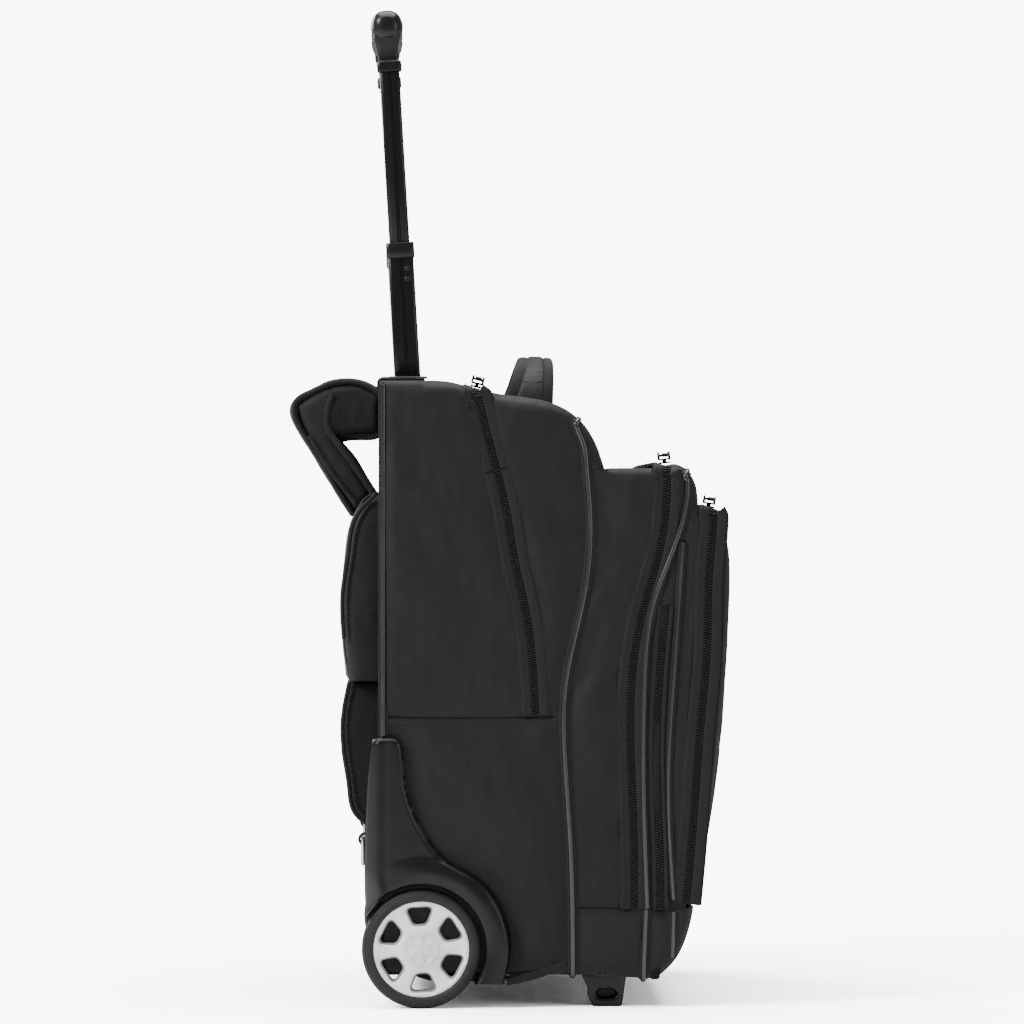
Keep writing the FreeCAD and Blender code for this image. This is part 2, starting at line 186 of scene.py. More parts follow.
# ------------------------------------------------------------------ mesh helpers
def add_mesh(name, verts, faces, smooth=True, mats=(), slots=None):
    """Object from points in mm, with materials and a slot number for each face."""
    me = bpy.data.meshes.new(name)
    me.from_pydata([tuple(v) for v in np.asarray(verts, float) * MM], [],
                   [list(map(int, f)) for f in faces])
    me.validate()
    ob = bpy.data.objects.new(name, me)
    bpy.context.scene.collection.objects.link(ob)
    for m in mats:
        me.materials.append(m)
    if slots is not None:
        me.polygons.foreach_set("material_index", np.asarray(slots, np.int32))
    if smooth:
        me.shade_smooth()
    return ob


def weld(ob, dist=0.0002):
    """Merge doubled points."""
    bm = bmesh.new()
    bm.from_mesh(ob.data)
    bmesh.ops.remove_doubles(bm, verts=bm.verts, dist=dist)
    bmesh.ops.recalc_face_normals(bm, faces=bm.faces)
    bm.to_mesh(ob.data)
    bm.free()
    return ob


def apply_all(ob):
    """Apply every modifier of an object."""
    dg = bpy.context.evaluated_depsgraph_get()
    me = bpy.data.meshes.new_from_object(ob.evaluated_get(dg))
    ob.modifiers.clear()
    ob.data = me
    return ob


def modifier(ob, kind, **values):
    """Add a modifier and set its values."""
    m = ob.modifiers.new(kind.lower(), kind)
    for k, v in values.items():
        setattr(m, k, v)
    return m


def join(name, objects):
    """One object out of several; materials are kept."""
    bm = bmesh.new()
    mats = []
    for ob in objects:
        start = len(bm.faces)
        bm.from_mesh(ob.data)
        bm.faces.ensure_lookup_table()
        lookup = []
        for m in ob.data.materials:
            if m not in mats:
                mats.append(m)
            lookup.append(mats.index(m))
        for f in bm.faces[start:]:
            f.material_index = lookup[f.material_index] if lookup else 0
    me = bpy.data.meshes.new(name)
    bm.to_mesh(me)
    bm.free()
    for m in mats:
        me.materials.append(m)
    for ob in objects:
        bpy.data.objects.remove(ob)
    ob = bpy.data.objects.new(name, me)
    bpy.context.scene.collection.objects.link(ob)
    return ob


def mirror_y(ob, name):
    """Mirror image across the XZ plane, facing outward."""
    me = ob.data.copy()
    me.name = name
    co = np.zeros(len(me.vertices) * 3, np.float32)
    me.vertices.foreach_get("co", co)
    co[1::3] *= -1
    me.vertices.foreach_set("co", co)
    me.flip_normals()
    new = bpy.data.objects.new(name, me)
    bpy.context.scene.collection.objects.link(new)
    return new


def sharpen(ob, angle=40):
    """Smooth shading that keeps edges above the angle sharp."""
    bm = bmesh.new()
    bm.from_mesh(ob.data)
    for e in bm.edges:
        e.smooth = not (len(e.link_faces) == 2 and e.calc_face_angle(0) > math.radians(angle))
    for f in bm.faces:
        f.smooth = True
    bm.to_mesh(ob.data)
    bm.free()
    return ob


# ------------------------------------------------------------------ materials
class Nodes:
    """Short way to build a material's node tree."""

    def __init__(self, name, **sockets):
        self.mat = bpy.data.materials.new(name)
        self.mat.use_nodes = True
        self.tree = self.mat.node_tree
        self.bsdf = self.tree.nodes["Principled BSDF"]
        self.coord = self.tree.nodes.new("ShaderNodeTexCoord").outputs["Object"]
        for key, value in sockets.items():
            self.bsdf.inputs[key.replace("_", " ")].default_value = value

    def new(self, kind, **values):
        """Add a node; each value is an attribute if it has one, else an input."""
        node = self.tree.nodes.new("ShaderNode" + kind)
        for key, value in values.items():
            if hasattr(node, key):
                setattr(node, key, value)
            else:
                node.inputs[key.replace("_", " ")].default_value = value
        return node

    def link(self, a, b):
        """Join two sockets."""
        self.tree.links.new(a, b)

    def scaled(self, x, y, z):
        """Object coordinates stretched along each axis."""
        m = self.new("Mapping")
        m.inputs["Scale"].default_value = (x, y, z)
        self.link(self.coord, m.inputs["Vector"])
        return m.outputs["Vector"]

    def noise(self, scale, detail=3, rough=0.5, vector=None):
        """Noise texture, about 0 to 1."""
        n = self.new("TexNoise", Scale=scale, Detail=detail, Roughness=rough)
        self.link(vector or self.coord, n.inputs["Vector"])
        return n.outputs["Fac"]

    def wave(self, axis, period_mm, distortion=0.0):
        """Even bands along one axis, a period in mm apart."""
        n = self.new("TexWave", Scale=2 * math.pi / (20 * period_mm * MM), Distortion=distortion)
        n.bands_direction = axis
        n.inputs["Detail Scale"].default_value = 2.0
        self.link(self.coord, n.inputs["Vector"])
        return n.outputs["Fac"]

    def math(self, op, a, b):
        """Math node whose inputs are numbers or sockets."""
        n = self.new("Math", operation=op)
        for socket, value in zip(n.inputs, (a, b)):
            if isinstance(value, (int, float)):
                socket.default_value = value
            else:
                self.link(value, socket)
        return n.outputs[0]

    def remap(self, value, low, high, to_low, to_high):
        """Move a value from one range to another."""
        n = self.new("MapRange")
        for key, v in zip(("From Min", "From Max", "To Min", "To Max"), (low, high, to_low, to_high)):
            n.inputs[key].default_value = v
        self.link(value, n.inputs["Value"])
        return n.outputs["Result"]

    def ramp_color(self, value, *stops):
        """Drive the base colour by a value through (position, colour) stops."""
        n = self.new("ValToRGB")
        el = n.color_ramp.elements
        while len(el) < len(stops):
            el.new(0.5)
        for e, (pos, c) in zip(el, stops):
            e.position = pos
            e.color = (*c, 1)
        self.link(value, n.inputs["Fac"])
        self.link(n.outputs["Color"], self.bsdf.inputs["Base Color"])

    def rough(self, value, low, high):
        """Drive the roughness by a value."""
        self.link(self.remap(value, 0.3, 0.7, low, high), self.bsdf.inputs["Roughness"])

    def bump(self, height, strength, dist_mm, under=None):
        """Drive the normal by a height, over another bump if one is given."""
        n = self.new("Bump", Strength=strength)
        n.inputs["Distance"].default_value = dist_mm * MM
        self.link(height, n.inputs["Height"])
        if under is not None:
            self.link(under, n.inputs["Normal"])
        self.link(n.outputs["Normal"], self.bsdf.inputs["Normal"])
        return n.outputs["Normal"]


def cloth_material(name, dark, light, period=1.5, weave=0.6, sheen=0.25, rough=(0.78, 0.92)):
    """Woven cloth: threads, fibres, cloudy tone and soft unevenness."""
    n = Nodes(name, Sheen_Weight=sheen, Sheen_Roughness=0.45, Specular_IOR_Level=0.22)
    facing = n.new("SeparateXYZ")
    n.link(n.tree.nodes["Texture Coordinate"].outputs["Normal"], facing.inputs[0])
    threads = 0.0
    for axis, out in zip("XYZ", facing.outputs):
        flat = n.math("SUBTRACT", 1.0, n.math("POWER", n.math("ABSOLUTE", out, 0.0), 0.5))
        threads = n.math("ADD", threads, n.math("MULTIPLY", n.wave(axis, period, 0.4), flat))
    threads = n.math("MULTIPLY", threads, 0.5)
    fibre = n.noise(2400, 2, 0.6)
    cloud = n.noise(14, 4, 0.55)
    mixed = n.math("ADD", n.math("MULTIPLY", threads, 0.35), n.math("MULTIPLY", fibre, 0.4))
    mixed = n.math("ADD", mixed, n.math("MULTIPLY", cloud, 0.3))
    n.ramp_color(mixed, (0.2, dark), (0.85, light))
    n.rough(cloud, *rough)
    soft = n.bump(n.noise(11, 3, 0.5), 0.95, 10.0)
    first = n.bump(n.noise(70, 4, 0.6), 0.2, 0.6, soft)
    n.bump(n.math("ADD", threads, n.math("MULTIPLY", fibre, 0.5)), weave, 0.3, first)
    return n.mat


def plastic_material(name, color, rough=(0.32, 0.5), grain=0.12, scale=900, coat=0.0, shine=0.32):
    """Moulded plastic or rubber with a fine grain and softened edges."""
    n = Nodes(name, Specular_IOR_Level=shine, Coat_Weight=coat, Coat_Roughness=0.25)
    cloud = n.noise(25, 4, 0.6)
    lighter = tuple(min(c * 1.35 + 0.004, 1) for c in color)
    n.ramp_color(n.noise(60, 5, 0.7), (0.3, color), (0.8, lighter))
    n.rough(cloud, *rough)
    n.bump(n.noise(scale, 2, 0.5), grain, 0.25, n.new("Bevel", Radius=0.0005).outputs[0])
    return n.mat


def metal_material(name, color, rough=(0.18, 0.32), metallic=1.0, brushed=None):
    """Metal with fine lines, which brushed stretches along one axis."""
    n = Nodes(name, Metallic=metallic)
    dark = tuple(c * 0.86 for c in color)
    vec = n.scaled(*brushed) if brushed else None
    lines = n.noise(220, 3, 0.6, vec)
    n.ramp_color(n.noise(40, 4, 0.6), (0.3, dark), (0.7, color))
    n.rough(lines, *rough)
    n.bump(lines, 0.06, 0.1, n.new("Bevel", Radius=0.0005).outputs[0])
    return n.mat


SHELL = cloth_material("shell_cloth", (0.0036, 0.0036, 0.0036), (0.0125, 0.0124, 0.0121), 1.2, 0.35, 0.05,
                       (0.55, 0.72))
SMOOTH = cloth_material("smooth_cloth", (0.006, 0.006, 0.0063), (0.016, 0.016, 0.0165), 0.9, 0.2, 0.05,
                        (0.6, 0.78))
LINING = cloth_material("lining_cloth", (0.05, 0.05, 0.055), (0.10, 0.10, 0.108), 1.0, 0.4, 0.1)
WEBBING = cloth_material("strap_cloth", (0.0065, 0.0065, 0.0062), (0.018, 0.018, 0.017), 1.8, 0.6, 0.06)
MESH = cloth_material("spacer_mesh", (0.0035, 0.0035, 0.003), (0.017, 0.017, 0.014), 2.6, 0.9, 0.04)
THREAD = cloth_material("stitch_thread", (0.010, 0.010, 0.010), (0.026, 0.026, 0.026), 0.6, 0.4, 0.05)
PIPING = plastic_material("piping_pvc", (0.0085, 0.0085, 0.0085), (0.2, 0.3), 0.08, 700, 0.0, 0.75)
COIL = plastic_material("zip_coil", (0.005, 0.005, 0.0052), (0.26, 0.4), 0.05, 900)
TAPE = cloth_material("zip_tape", (0.0025, 0.0025, 0.0027), (0.006, 0.006, 0.0062), 0.9, 0.4, 0.02)
BLACK = plastic_material("moulded_black", (0.0030, 0.0030, 0.0031), (0.24, 0.38), 0.12, 1200)
HOUSING = plastic_material("housing_black", (0.0020, 0.0020, 0.0020), (0.28, 0.40), 0.08, 1500, 0.04, 0.26)
TUBE = metal_material("black_anodised", (0.010, 0.010, 0.0103), (0.18, 0.28), 0.5, (1, 1, 0.02))
STEEL = metal_material("plain_steel", (0.55, 0.55, 0.56), (0.25, 0.4), 1.0, (1, 1, 0.1))
BRIGHT = metal_material("bright_ring", (0.78, 0.78, 0.79), (0.12, 0.24))
NICKEL = metal_material("black_nickel", (0.022, 0.022, 0.023), (0.3, 0.45))
RIM = plastic_material("silver_rim", (0.80, 0.80, 0.81), (0.26, 0.36), 0.04, 900, 0.2)
HUB = plastic_material("silver_hub", (0.66, 0.66, 0.67), (0.28, 0.40), 0.04, 900, 0.2)
# Darker grey on the rim's window walls and on the inner barrels of rim and hub: painted shade in these
# recesses.
RIM_SHADED_WALL = plastic_material("rim_wall_painted_shade", (0.24, 0.24, 0.245), (0.4, 0.55), 0.05, 900)
WELL = plastic_material("housing_well", (0.006, 0.006, 0.0062), (0.5, 0.65), 0.1, 900)
TYRE = plastic_material("tyre_rubber", (0.0115, 0.0115, 0.0105), (0.55, 0.75), 0.25, 500)
GRIP = plastic_material("grip_rubber", (0.006, 0.006, 0.0056), (0.55, 0.7), 0.25, 1100)
BOARD = plastic_material("board_sheet", (0.03, 0.03, 0.031), (0.5, 0.65), 0.1, 400)


# ------------------------------------------------------------------ cloth panels
SEAMS = [spline(SEAM_MAIN), spline(ZIP_MAIN + ZIP_MAIN_LOW[1:]), spline(ZIP_LID), spline(ZIP_POCKET)]
EXTRA_SEAMS = [spline(c) for c in (
    [(-98, 221), (-40, 220), (35, 221)],
    [(48, 76), (94, 75)],
    [(-4, 23), (18, 29), (41, 37)],
    [(144, 377), (144, 334), (139, 270), (135, 217), (131, 150), (127, 84)],
    [(38, 470), (45, 450), (52, 438), (55, 409)],
    [(137, 404), (134, 384), (122, 344), (108, 309), (101, 250), (100, 192), (103, 75), (100, 24)],
    [(130, 354), (127, 309), (123, 250), (119, 180), (120, 129), (123, 82), (122, 38)],
)]


def fbm(x, y, z, scale, octaves=3):
    """Layered noise at a point in mm."""
    return noise.fractal(Vector((x * scale, y * scale, z * scale)), 0.9, 2.1, octaves)


def folds(x, z, side):
    """Soft wrinkles of the side cloth in mm, the same function on both sides of every seam."""
    s = 7.0 * side
    broad = fbm(x + 40 * s, s, z * 0.8, 0.016) * 2.2
    lean = (x * 0.80 + z * 0.35)
    crease = noise.noise(Vector((lean * 0.045, (z - x * 0.4) * 0.012, s))) * 1.7
    slope = (x * 0.62 - z * 0.55)
    gus = math.exp(-((x - 72) / 34) ** 2 - ((z - 285) / 95) ** 2)
    diagonal = noise.noise(Vector((slope * 0.075, (x + z) * 0.012, 3 + s))) * 4.2 * gus
    pucker = noise.noise(Vector((x * 0.16, z * 0.05, 9 + s))) * 0.5
    return broad + crease + diagonal + pucker


HOUSE_SIDE = [(-84.5, 203), (-83, 196), (-81.5, 176), (-69, 137), (-48.5, 112), (-22, 96), (-6.5, 73),
              (-0.6, 45), (-6, 18.6)]
HOUSE_AREA = np.vstack([spline(HOUSE_SIDE, 4), [(-6, 0), (-120, 0), (-120, 206), (-88, 205.5)]])


def side_height(p, side, crown=4.0):
    """Outward height of the side cloth above HALF_W, in mm, for points (x, z)."""
    d = np.full(len(p), 1e9)
    for s in SEAMS + EXTRA_SEAMS:
        d = np.minimum(d, distance(p, s))
    rise = 1 - np.exp(-(d / 16.0) ** 1.4)
    tuck = -0.9 * np.exp(-(d / 2.2) ** 2)
    wr = np.array([folds(x, z, side) for x, z in p])
    near_house = distance(p, np.vstack([HOUSE_AREA, HOUSE_AREA[:1]])) * ~inside(p, HOUSE_AREA)
    free = np.clip(near_house / 24.0, 0, 1)
    free = free * free * (3 - 2 * free)
    return (crown * rise + wr * np.clip(d / 14.0, 0, 1)) * free + tuck - 1.6 * (1 - free)


def corner_drop(d, r):
    """How far a rounded edge of radius r falls at distance d from it."""
    t = np.clip(1 - d / r, 0, 1)
    return r * (1 - np.sqrt(np.clip(1 - t * t, 0, 1)))


def panel(name, runs, classes, mats, thickness=2.6, y_half=HALF_W, crown=4.0, wrinkle=1.0,
          smooth_below=None,
          strip_fn=None, seams=True, step=FINE):
    """Sewn box over a side outline.

    classes gives each run "open" (a hemmed mouth), "cut" (a hidden split) or
    (corner radius, bulge of the strip).
    """
    loop, tags = outline(*runs, step=step)
    kinds = [classes[min(int(t), len(classes) - 1)] for t in tags]
    n = len(loop)
    outward = 1.0 if signed_area(loop) > 0 else -1.0
    co, tris = fill(loop, step=step)
    ends = np.roll(loop, -1, axis=0)
    d_edge = np.full(len(co), 1e9)
    drop = np.zeros(len(co))
    by_radius = {}
    for i in range(n):
        if kinds[i] == "cut":
            continue
        d = distance(co, np.array([loop[i], ends[i]]))
        d_edge = np.minimum(d_edge, d)
        if kinds[i] != "open":
            r = kinds[i][0]
            by_radius[r] = np.minimum(by_radius.get(r, 1e9), d)
    for r, d in by_radius.items():
        drop = np.maximum(drop, corner_drop(d, r))
    verts, faces, slots, heights = [], [], [], {}
    for side in (-1, 1):
        if seams:
            h = side_height(co, side, crown) * np.clip(d_edge / 10.0, 0, 1)
        else:
            h = crown * (1 - np.exp(-(d_edge / 14.0) ** 1.4))
            h = h + wrinkle * np.array([fbm(x, side * 9, z, 0.03) for x,
                                        z in co]) * np.clip(d_edge / 8, 0, 1)
        heights[side] = y_half + h - drop
        base = len(verts)
        verts += [(x, side * yy, z) for (x, z), yy in zip(co, heights[side])]
        faces += [tuple(base + t) for t in tris]
        slots += [1 if smooth_below is not None and smooth_below(co[t].mean(0)) else 0 for t in tris]
    m = max(int(2 * y_half / (step * 1.8)), 8) + 1
    for i in range(n):
        if kinds[i] in ("open", "cut"):
            continue
        j = (i + 1) % n
        base = len(verts)
        for k in (i, j):
            soft = kinds[k] if kinds[k] not in ("open", "cut") else (0, 0)
            tangent = loop[(k + 1) % n] - loop[k - 1]
            normal = outward * np.array([tangent[1], -tangent[0]]) / (np.hypot(*tangent) + 1e-9)
            low, high = -heights[-1][k], heights[1][k]
            for q in range(m):
                y = low + (high - low) * q / (m - 1)
                e = y_half - abs(y)
                out = soft[1] * (1 - math.exp(-(max(e, 0) / 26.0) ** 1.4))
                if soft[1]:
                    out += fbm(loop[k][0], y, loop[k][1], 0.014) * 1.3 * wrinkle * min(max(e, 0) / 20, 1)
                    out += noise.noise(Vector((y * 0.05, loop[k][1] * 0.02,
                                               5))) * 0.8 * wrinkle * min(max(e, 0) / 20, 1)
                if strip_fn:
                    out += strip_fn(loop[k][0], y, loop[k][1])
                verts.append((loop[k][0] + normal[0] * out, y, loop[k][1] + normal[1] * out))
        is_low = smooth_below is not None and smooth_below((loop[i] + loop[j]) / 2)
        for q in range(m - 1):
            faces.append((base + q, base + q + 1, base + m + q + 1, base + m + q))
            slots.append(1 if is_low else 0)
    ob = weld(add_mesh(name, verts, faces, True, mats, slots), 0.00012)
    if sum(f.normal.y * f.area * (1 if f.center.y > 0 else -1) for f in ob.data.polygons) < 0:
        ob.data.flip_normals()
    if thickness:
        modifier(ob, "SOLIDIFY", thickness=thickness * MM, offset=-1.0, material_offset=2,
                 material_offset_rim=2,
                 use_quality_normals=True)
        sharpen(apply_all(ob), 55)
    return ob


# ------------------------------------------------------------------ paths over the bag
class Path:
    """Line that runs up one side, over an edge, across the width and back down the other side."""

    def __init__(self, side_pts, out=None, radius=6.0, crown=0.6, step=1.0, lift=0.0, y_half=HALF_W):
        pts = spline(side_pts, 1.5)
        pos, nrm = [], []
        if out is not None:
            out = np.array(out, float) / np.hypot(*out)
            tip = pts[-1]
            inner = tip - radius * out
            pts = pts[np.hypot(*(pts - tip).T) > radius * 1.1]
            pts = np.vstack([pts, inner])
        for x, z in pts:
            pos.append((x, -y_half - lift, z))
            nrm.append((0, -1, 0))
        if out is not None:
            for a in np.linspace(0, math.pi / 2, 9)[1:]:
                c, s = math.cos(a), math.sin(a)
                pos.append((inner[0] + (radius + lift) * s * out[0],
                            -(y_half - radius) - (radius + lift) * c,
                            inner[1] + (radius + lift) * s * out[1]))
                nrm.append((s * out[0], -c, s * out[1]))
            half = [(np.array(p), np.array(q)) for p, q in zip(pos, nrm)]
            ys = np.linspace(-(y_half - radius), y_half - radius, 60)[1:-1]
            for y in ys:
                b = crown * (1 - math.exp(-((y_half - abs(y)) / 26.0) ** 1.4))
                pos.append((tip[0] + out[0] * (lift + b), y, tip[1] + out[1] * (lift + b)))
                nrm.append((out[0], 0, out[1]))
            for p, q in half[::-1]:
                pos.append(tuple(p * (1, -1, 1)))
                nrm.append(tuple(q * (1, -1, 1)))
        self.set(np.array(pos, float), np.array(nrm, float), step)

    def set(self, pos, nrm, step):
        """Sample the line evenly: lengths s, points p, normals n, tangents t and sideways b."""
        t = np.concatenate([[0], np.cumsum(np.linalg.norm(np.diff(pos, axis=0), axis=1))])
        q = np.linspace(0, t[-1], max(int(t[-1] / step), 2) + 1)
        self.s = q
        self.p = np.stack([np.interp(q, t, pos[:, i]) for i in range(3)], 1)
        self.n = np.stack([np.interp(q, t, nrm[:, i]) for i in range(3)], 1)
        self.t = np.gradient(self.p, axis=0)
        self.t /= np.linalg.norm(self.t, axis=1)[:, None]
        self.b = np.cross(self.t, self.n)
        self.b /= np.linalg.norm(self.b, axis=1)[:, None]
        self.n = np.cross(self.b, self.t)

    def part(self, keep):
        """The stretches of the path whose points pass the test."""
        ok = np.array([keep(*p) for p in self.p])
        out, start = [], None
        for i, k in enumerate(list(ok) + [False]):
            if k and start is None:
                start = i
            if not k and start is not None:
                if i - start > 2:
                    out.append(self.cut(start, i))
                start = None
        return out

    def cut(self, i, j):
        """Samples i to j as a path of their own."""
        new = object.__new__(Path)
        for key in "spntb":
            setattr(new, key, getattr(self, key)[i:j])
        return new

    def at(self, b, n):
        """Points b to the side of the path and n above it."""
        return self.p + self.b * b + self.n * n


def sweep(path, section, closed=True):
    """Vertices and faces of a section of (across, out) points swept along a path."""
    rings = np.stack([path.at(b, n) for b, n in section], 1)
    k = len(section)
    verts = rings.reshape(-1, 3)
    faces = []
    for i in range(len(rings) - 1):
        for j in range(k if closed else k - 1):
            q = (j + 1) % k
            faces.append((i * k + j, i * k + q, (i + 1) * k + q, (i + 1) * k + j))
    if closed:
        faces.append(list(range(k)))
        faces.append([(len(rings) - 1) * k + j for j in range(k)][::-1])
    return verts, faces


class Builder:
    """Collects swept and repeated bits into one mesh with several materials."""

    def __init__(self, *mats):
        self.v, self.f, self.m, self.mats = [], [], [], list(mats)

    def add(self, verts, faces, mat):
        """Add faces in one material."""
        base = len(self.v)
        self.v += [tuple(v) for v in verts]
        self.f += [tuple(base + i for i in f) for f in faces]
        self.m += [self.mats.index(mat)] * len(faces)

    def pill(self, c, t, b, n, size, mat):
        """Small rounded bar: size is (along t, along b, along n)."""
        verts = []
        for a, w in ((-1.0, 0.55), (-0.6, 1.0), (0.6, 1.0), (1.0, 0.55)):
            for k in range(6):
                u = math.pi * k / 3
                verts.append(c + t * a * size[0] / 2 + b * math.cos(u) * w * size[1] / 2
                             + n * math.sin(u) * w * size[2] / 2)
        faces = [[i * 6 + k, i * 6 + (k + 1) % 6, (i + 1) * 6 + (k + 1) % 6, (i + 1) * 6 + k]
                 for i in range(3) for k in range(6)]
        faces += [[5, 4, 3, 2, 1, 0], [18, 19, 20, 21, 22, 23]]
        self.add(verts, faces, mat)

    def stitches(self, path, b, n, pitch=3.6, length=2.5, mat=None):
        """Row of stitches beside a path."""
        mat = mat or THREAD
        last = -1e9
        line = path.at(b, n)
        for k in range(len(line)):
            if path.s[k] - last >= pitch:
                last = path.s[k]
                self.pill(line[k], path.t[k], path.b[k], path.n[k], (length, 0.75, 0.7), mat)

    def build(self, name, body, *nodes, slot=None):
        """Make the object, on its body and in place of its CAD nodes."""
        ob = sharpen(weld(add_mesh(name, self.v, self.f, True, self.mats, self.m), 1e-6), 50)
        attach(ob, body)
        if nodes:
            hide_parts(*nodes)
        return ob


def hem(out, path, side, flat=1.0):
    """Folded cloth edge beside a zip, on side -1 or 1, with its row of stitches."""
    pts = [(2.6, -1.2), (2.5, 0.6), (3.1, 1.25), (4.6, 1.5), (7.6, 1.9 * flat), (9.6, 1.9 * flat),
           (10.6, 1.2 * flat), (10.6, -1.2)]
    out.add(*sweep(path, [(side * b, n) for b, n in pts][::side]), SHELL)
    out.add(*sweep(path, [(side * b, n) for b, n in ((10.5, -1.0), (10.5, 0.5), (11.5, 0.5),
                                                     (11.5, -1.0))][::side]), TAPE)
    out.stitches(path, side * 8.4, 1.95 * flat)


def coil(out, path, side):
    """One row of a coil zip with its strip of tape."""
    out.add(*sweep(path, [(0.15 * side, -0.8), (0.15 * side, 0.35), (3.4 * side, 0.35),
                          (3.4 * side, -0.8)][::side]), TAPE)
    pitch, last = 1.7, -1e9
    for k in range(len(path.s)):
        if path.s[k] - last >= pitch:
            last = path.s[k]
            c = path.p[k] + path.b[k] * side * 1.25 + path.n[k] * 0.75 + path.t[k] * (0.42 * side)
            out.pill(c, path.b[k], path.t[k], path.n[k], (2.6, 1.05, 1.3), COIL)


def cord_edge(out, path, r=2.0, centre=0.9, mat=None, flange=True):
    """Piping: a round edge with its sewn flange."""
    out.add(*sweep(path, round_section(r, centre)), mat or PIPING)
    if flange:
        strip = [(-r - 1.6, 0.1), (-r - 1.2, 0.55), (r + 1.2, 0.55), (r + 1.6, 0.1), (r + 1.6, -0.8),
                 (-r - 1.6, -0.8)]
        out.add(*sweep(path, strip), SMOOTH)


# ------------------------------------------------------------------ cloth bodies
CLOTH = [SHELL, SMOOTH, LINING, LINING]


def boot(q):
    """Smoother patch along the bottom of the side."""
    return q[0] > -4 and q[1] < 24 + (q[0] + 4) * 0.30


def corner_patch(q):
    """Smoother patch low on the front gusset."""
    return q[1] < 72


def dress(ob, body, node):
    """Put a cloth piece on its body, in place of its CAD node."""
    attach(ob, body)
    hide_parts(*([node] if isinstance(node, str) else node))
    return ob


main = panel("main_shell_cloth", [[(-100, 25), (-100, 477)], MAIN_TOP, ZIP_MAIN,
                                  [(-11.5, RIM_Z), (55.5, RIM_Z)],
                                  SEAM_MAIN, [(45, 25), (-100, 25)]],
             [(4.0, 0.5), (7.0, 0.8), "open", "cut", "open", (5.0, 0.6)], CLOTH, smooth_below=boot)
lid = panel("top_cover_cloth", [[(-10.9, RIM_Z + 0.06), (-16.3, 430), (-26.4, 469.9)], LID_TOP,
                                [(71, RIM_Z + 0.06), (-10.9, RIM_Z + 0.06)]],
            ["open", (7.0, 0.8), "cut"], CLOTH)
gusset = panel("front_gusset_cloth", [[(55.5, RIM_Z), (71.5, RIM_Z)], [(74, 410.6), (118.5, 410.6)],
                                      ZIP_LID,
                                      [(93, FOLD_Z), (138, FOLD_Z)],
                                      [(138, FOLD_Z), (133, 54), (120, 31), (109, 22)],
                                      [(109, 22), (45, 25)], SEAM_MAIN[::-1]],
               ["cut", (5.0, 0.5), "open", "open", (8.0, 1.2), (5.0, 0.5), "open"], CLOTH,
               smooth_below=corner_patch)
ZIP_FRONT_SIDE = [(118.9, 411)] + [(x + GAP, z) for x, z in ZIP_LID[1:-1]] + [(93.4, FOLD_Z + GAP)]
front = panel("front_cover_cloth", [[(118.9, 411), (124, 413), (137, 404.5), (142, 382)],
                                    [(142, 382), (153.5, 378)],
                                    ZIP_POCKET, [(132.5, FOLD_Z + GAP), (93.4, FOLD_Z + GAP)],
                                    ZIP_FRONT_SIDE[::-1]],
              [(7.0, 0.8), (4.0, 0.0), "open", "open", "open"], CLOTH, crown=3.0)
FLAP_REAR = [(x + GAP, z) for x, z in ZIP_POCKET]
FLAP_FACE = [(154.2, 378), (162.5, 359), (166, 315), (162.5, 249), (156, 179), (145, 110), (137.5, 79)]
flap = panel("pocket_cover_cloth", [FLAP_FACE, [(137.5, 79), (132.9, 79)], FLAP_REAR[::-1]],
             [(9.0, 2.0), (3.0, 0.0), "open"], CLOTH, crown=2.0)
dress(main, "case", "main_shell")
dress(lid, "top_cover", "top_lid")
dress(gusset, "case", "front_gusset")
dress(front, "front_cover", "front_lid")
dress(flap, "pocket_cover", "pocket_flap")


# ------------------------------------------------------------------ zips
def zip_edges(name, body, node, rows):
    """Zip piece from (path, side, hem flatness or None for a bare coil) rows."""
    z = Builder(SHELL, TAPE, COIL, THREAD)
    for path, side, flat in rows:
        if flat is not None:
            hem(z, path, side, flat)
        coil(z, path, side)
    z.build(name, body, node, slot="zip")


main_path = Path(ZIP_MAIN_LOW[::-1] + ZIP_MAIN[::-1][1:], (0.26, 0.97))
main_low, main_high = main_path.part(lambda x, y, z: z < RIM_Z), main_path.part(lambda x, y, z: z >= RIM_Z)
zip_edges("main_zip", "case", "main_zip_tape",
          [(p, side, 1.0) for p in main_low for side in (-1, 1)] + [(p, -1, 1.0) for p in main_high])
zip_edges("main_zip_cover_side", "top_cover", "lid_zip_tape", [(p, 1, 1.0) for p in main_high])

front_path = Path(ZIP_LID[::-1], (0.2, 0.98), crown=0.5)
expander_low = Path([(113, FOLD_Z - 0.3), (111, 55), (109, 22.5)], (0, -1), radius=5, crown=0.4)
zip_edges("front_zip_case_side", "case", "gusset_zip_tapes",
          [(front_path, -1, 1.0), (expander_low, -1, None), (expander_low, 1, None)])

pocket_path = Path(ZIP_POCKET[::-1] + [(153.6, 378.4)], (0.3, 0.95), radius=4, crown=0)
zip_edges("front_zip_cover_side", "front_cover", "front_zip_tapes",
          [(front_path, 1, 1.0), (pocket_path, -1, 0.8)])
zip_edges("pocket_zip_cover_side", "pocket_cover", "flap_zip_tape", [(pocket_path, 1, 0.8)])

EXPANDER = [(117, 306), (111.5, 240), (110, 190), (112, 129), (113, FOLD_Z + GAP)]


def both_sides(path):
    """The same path on the far side."""
    far = path.cut(0, len(path.s))
    far.p = far.p * (1, -1, 1)
    far.n = far.n * (1, -1, 1)
    far.t = far.t * (1, -1, 1)
    far.b = np.cross(far.t, far.n)
    return [path, far]


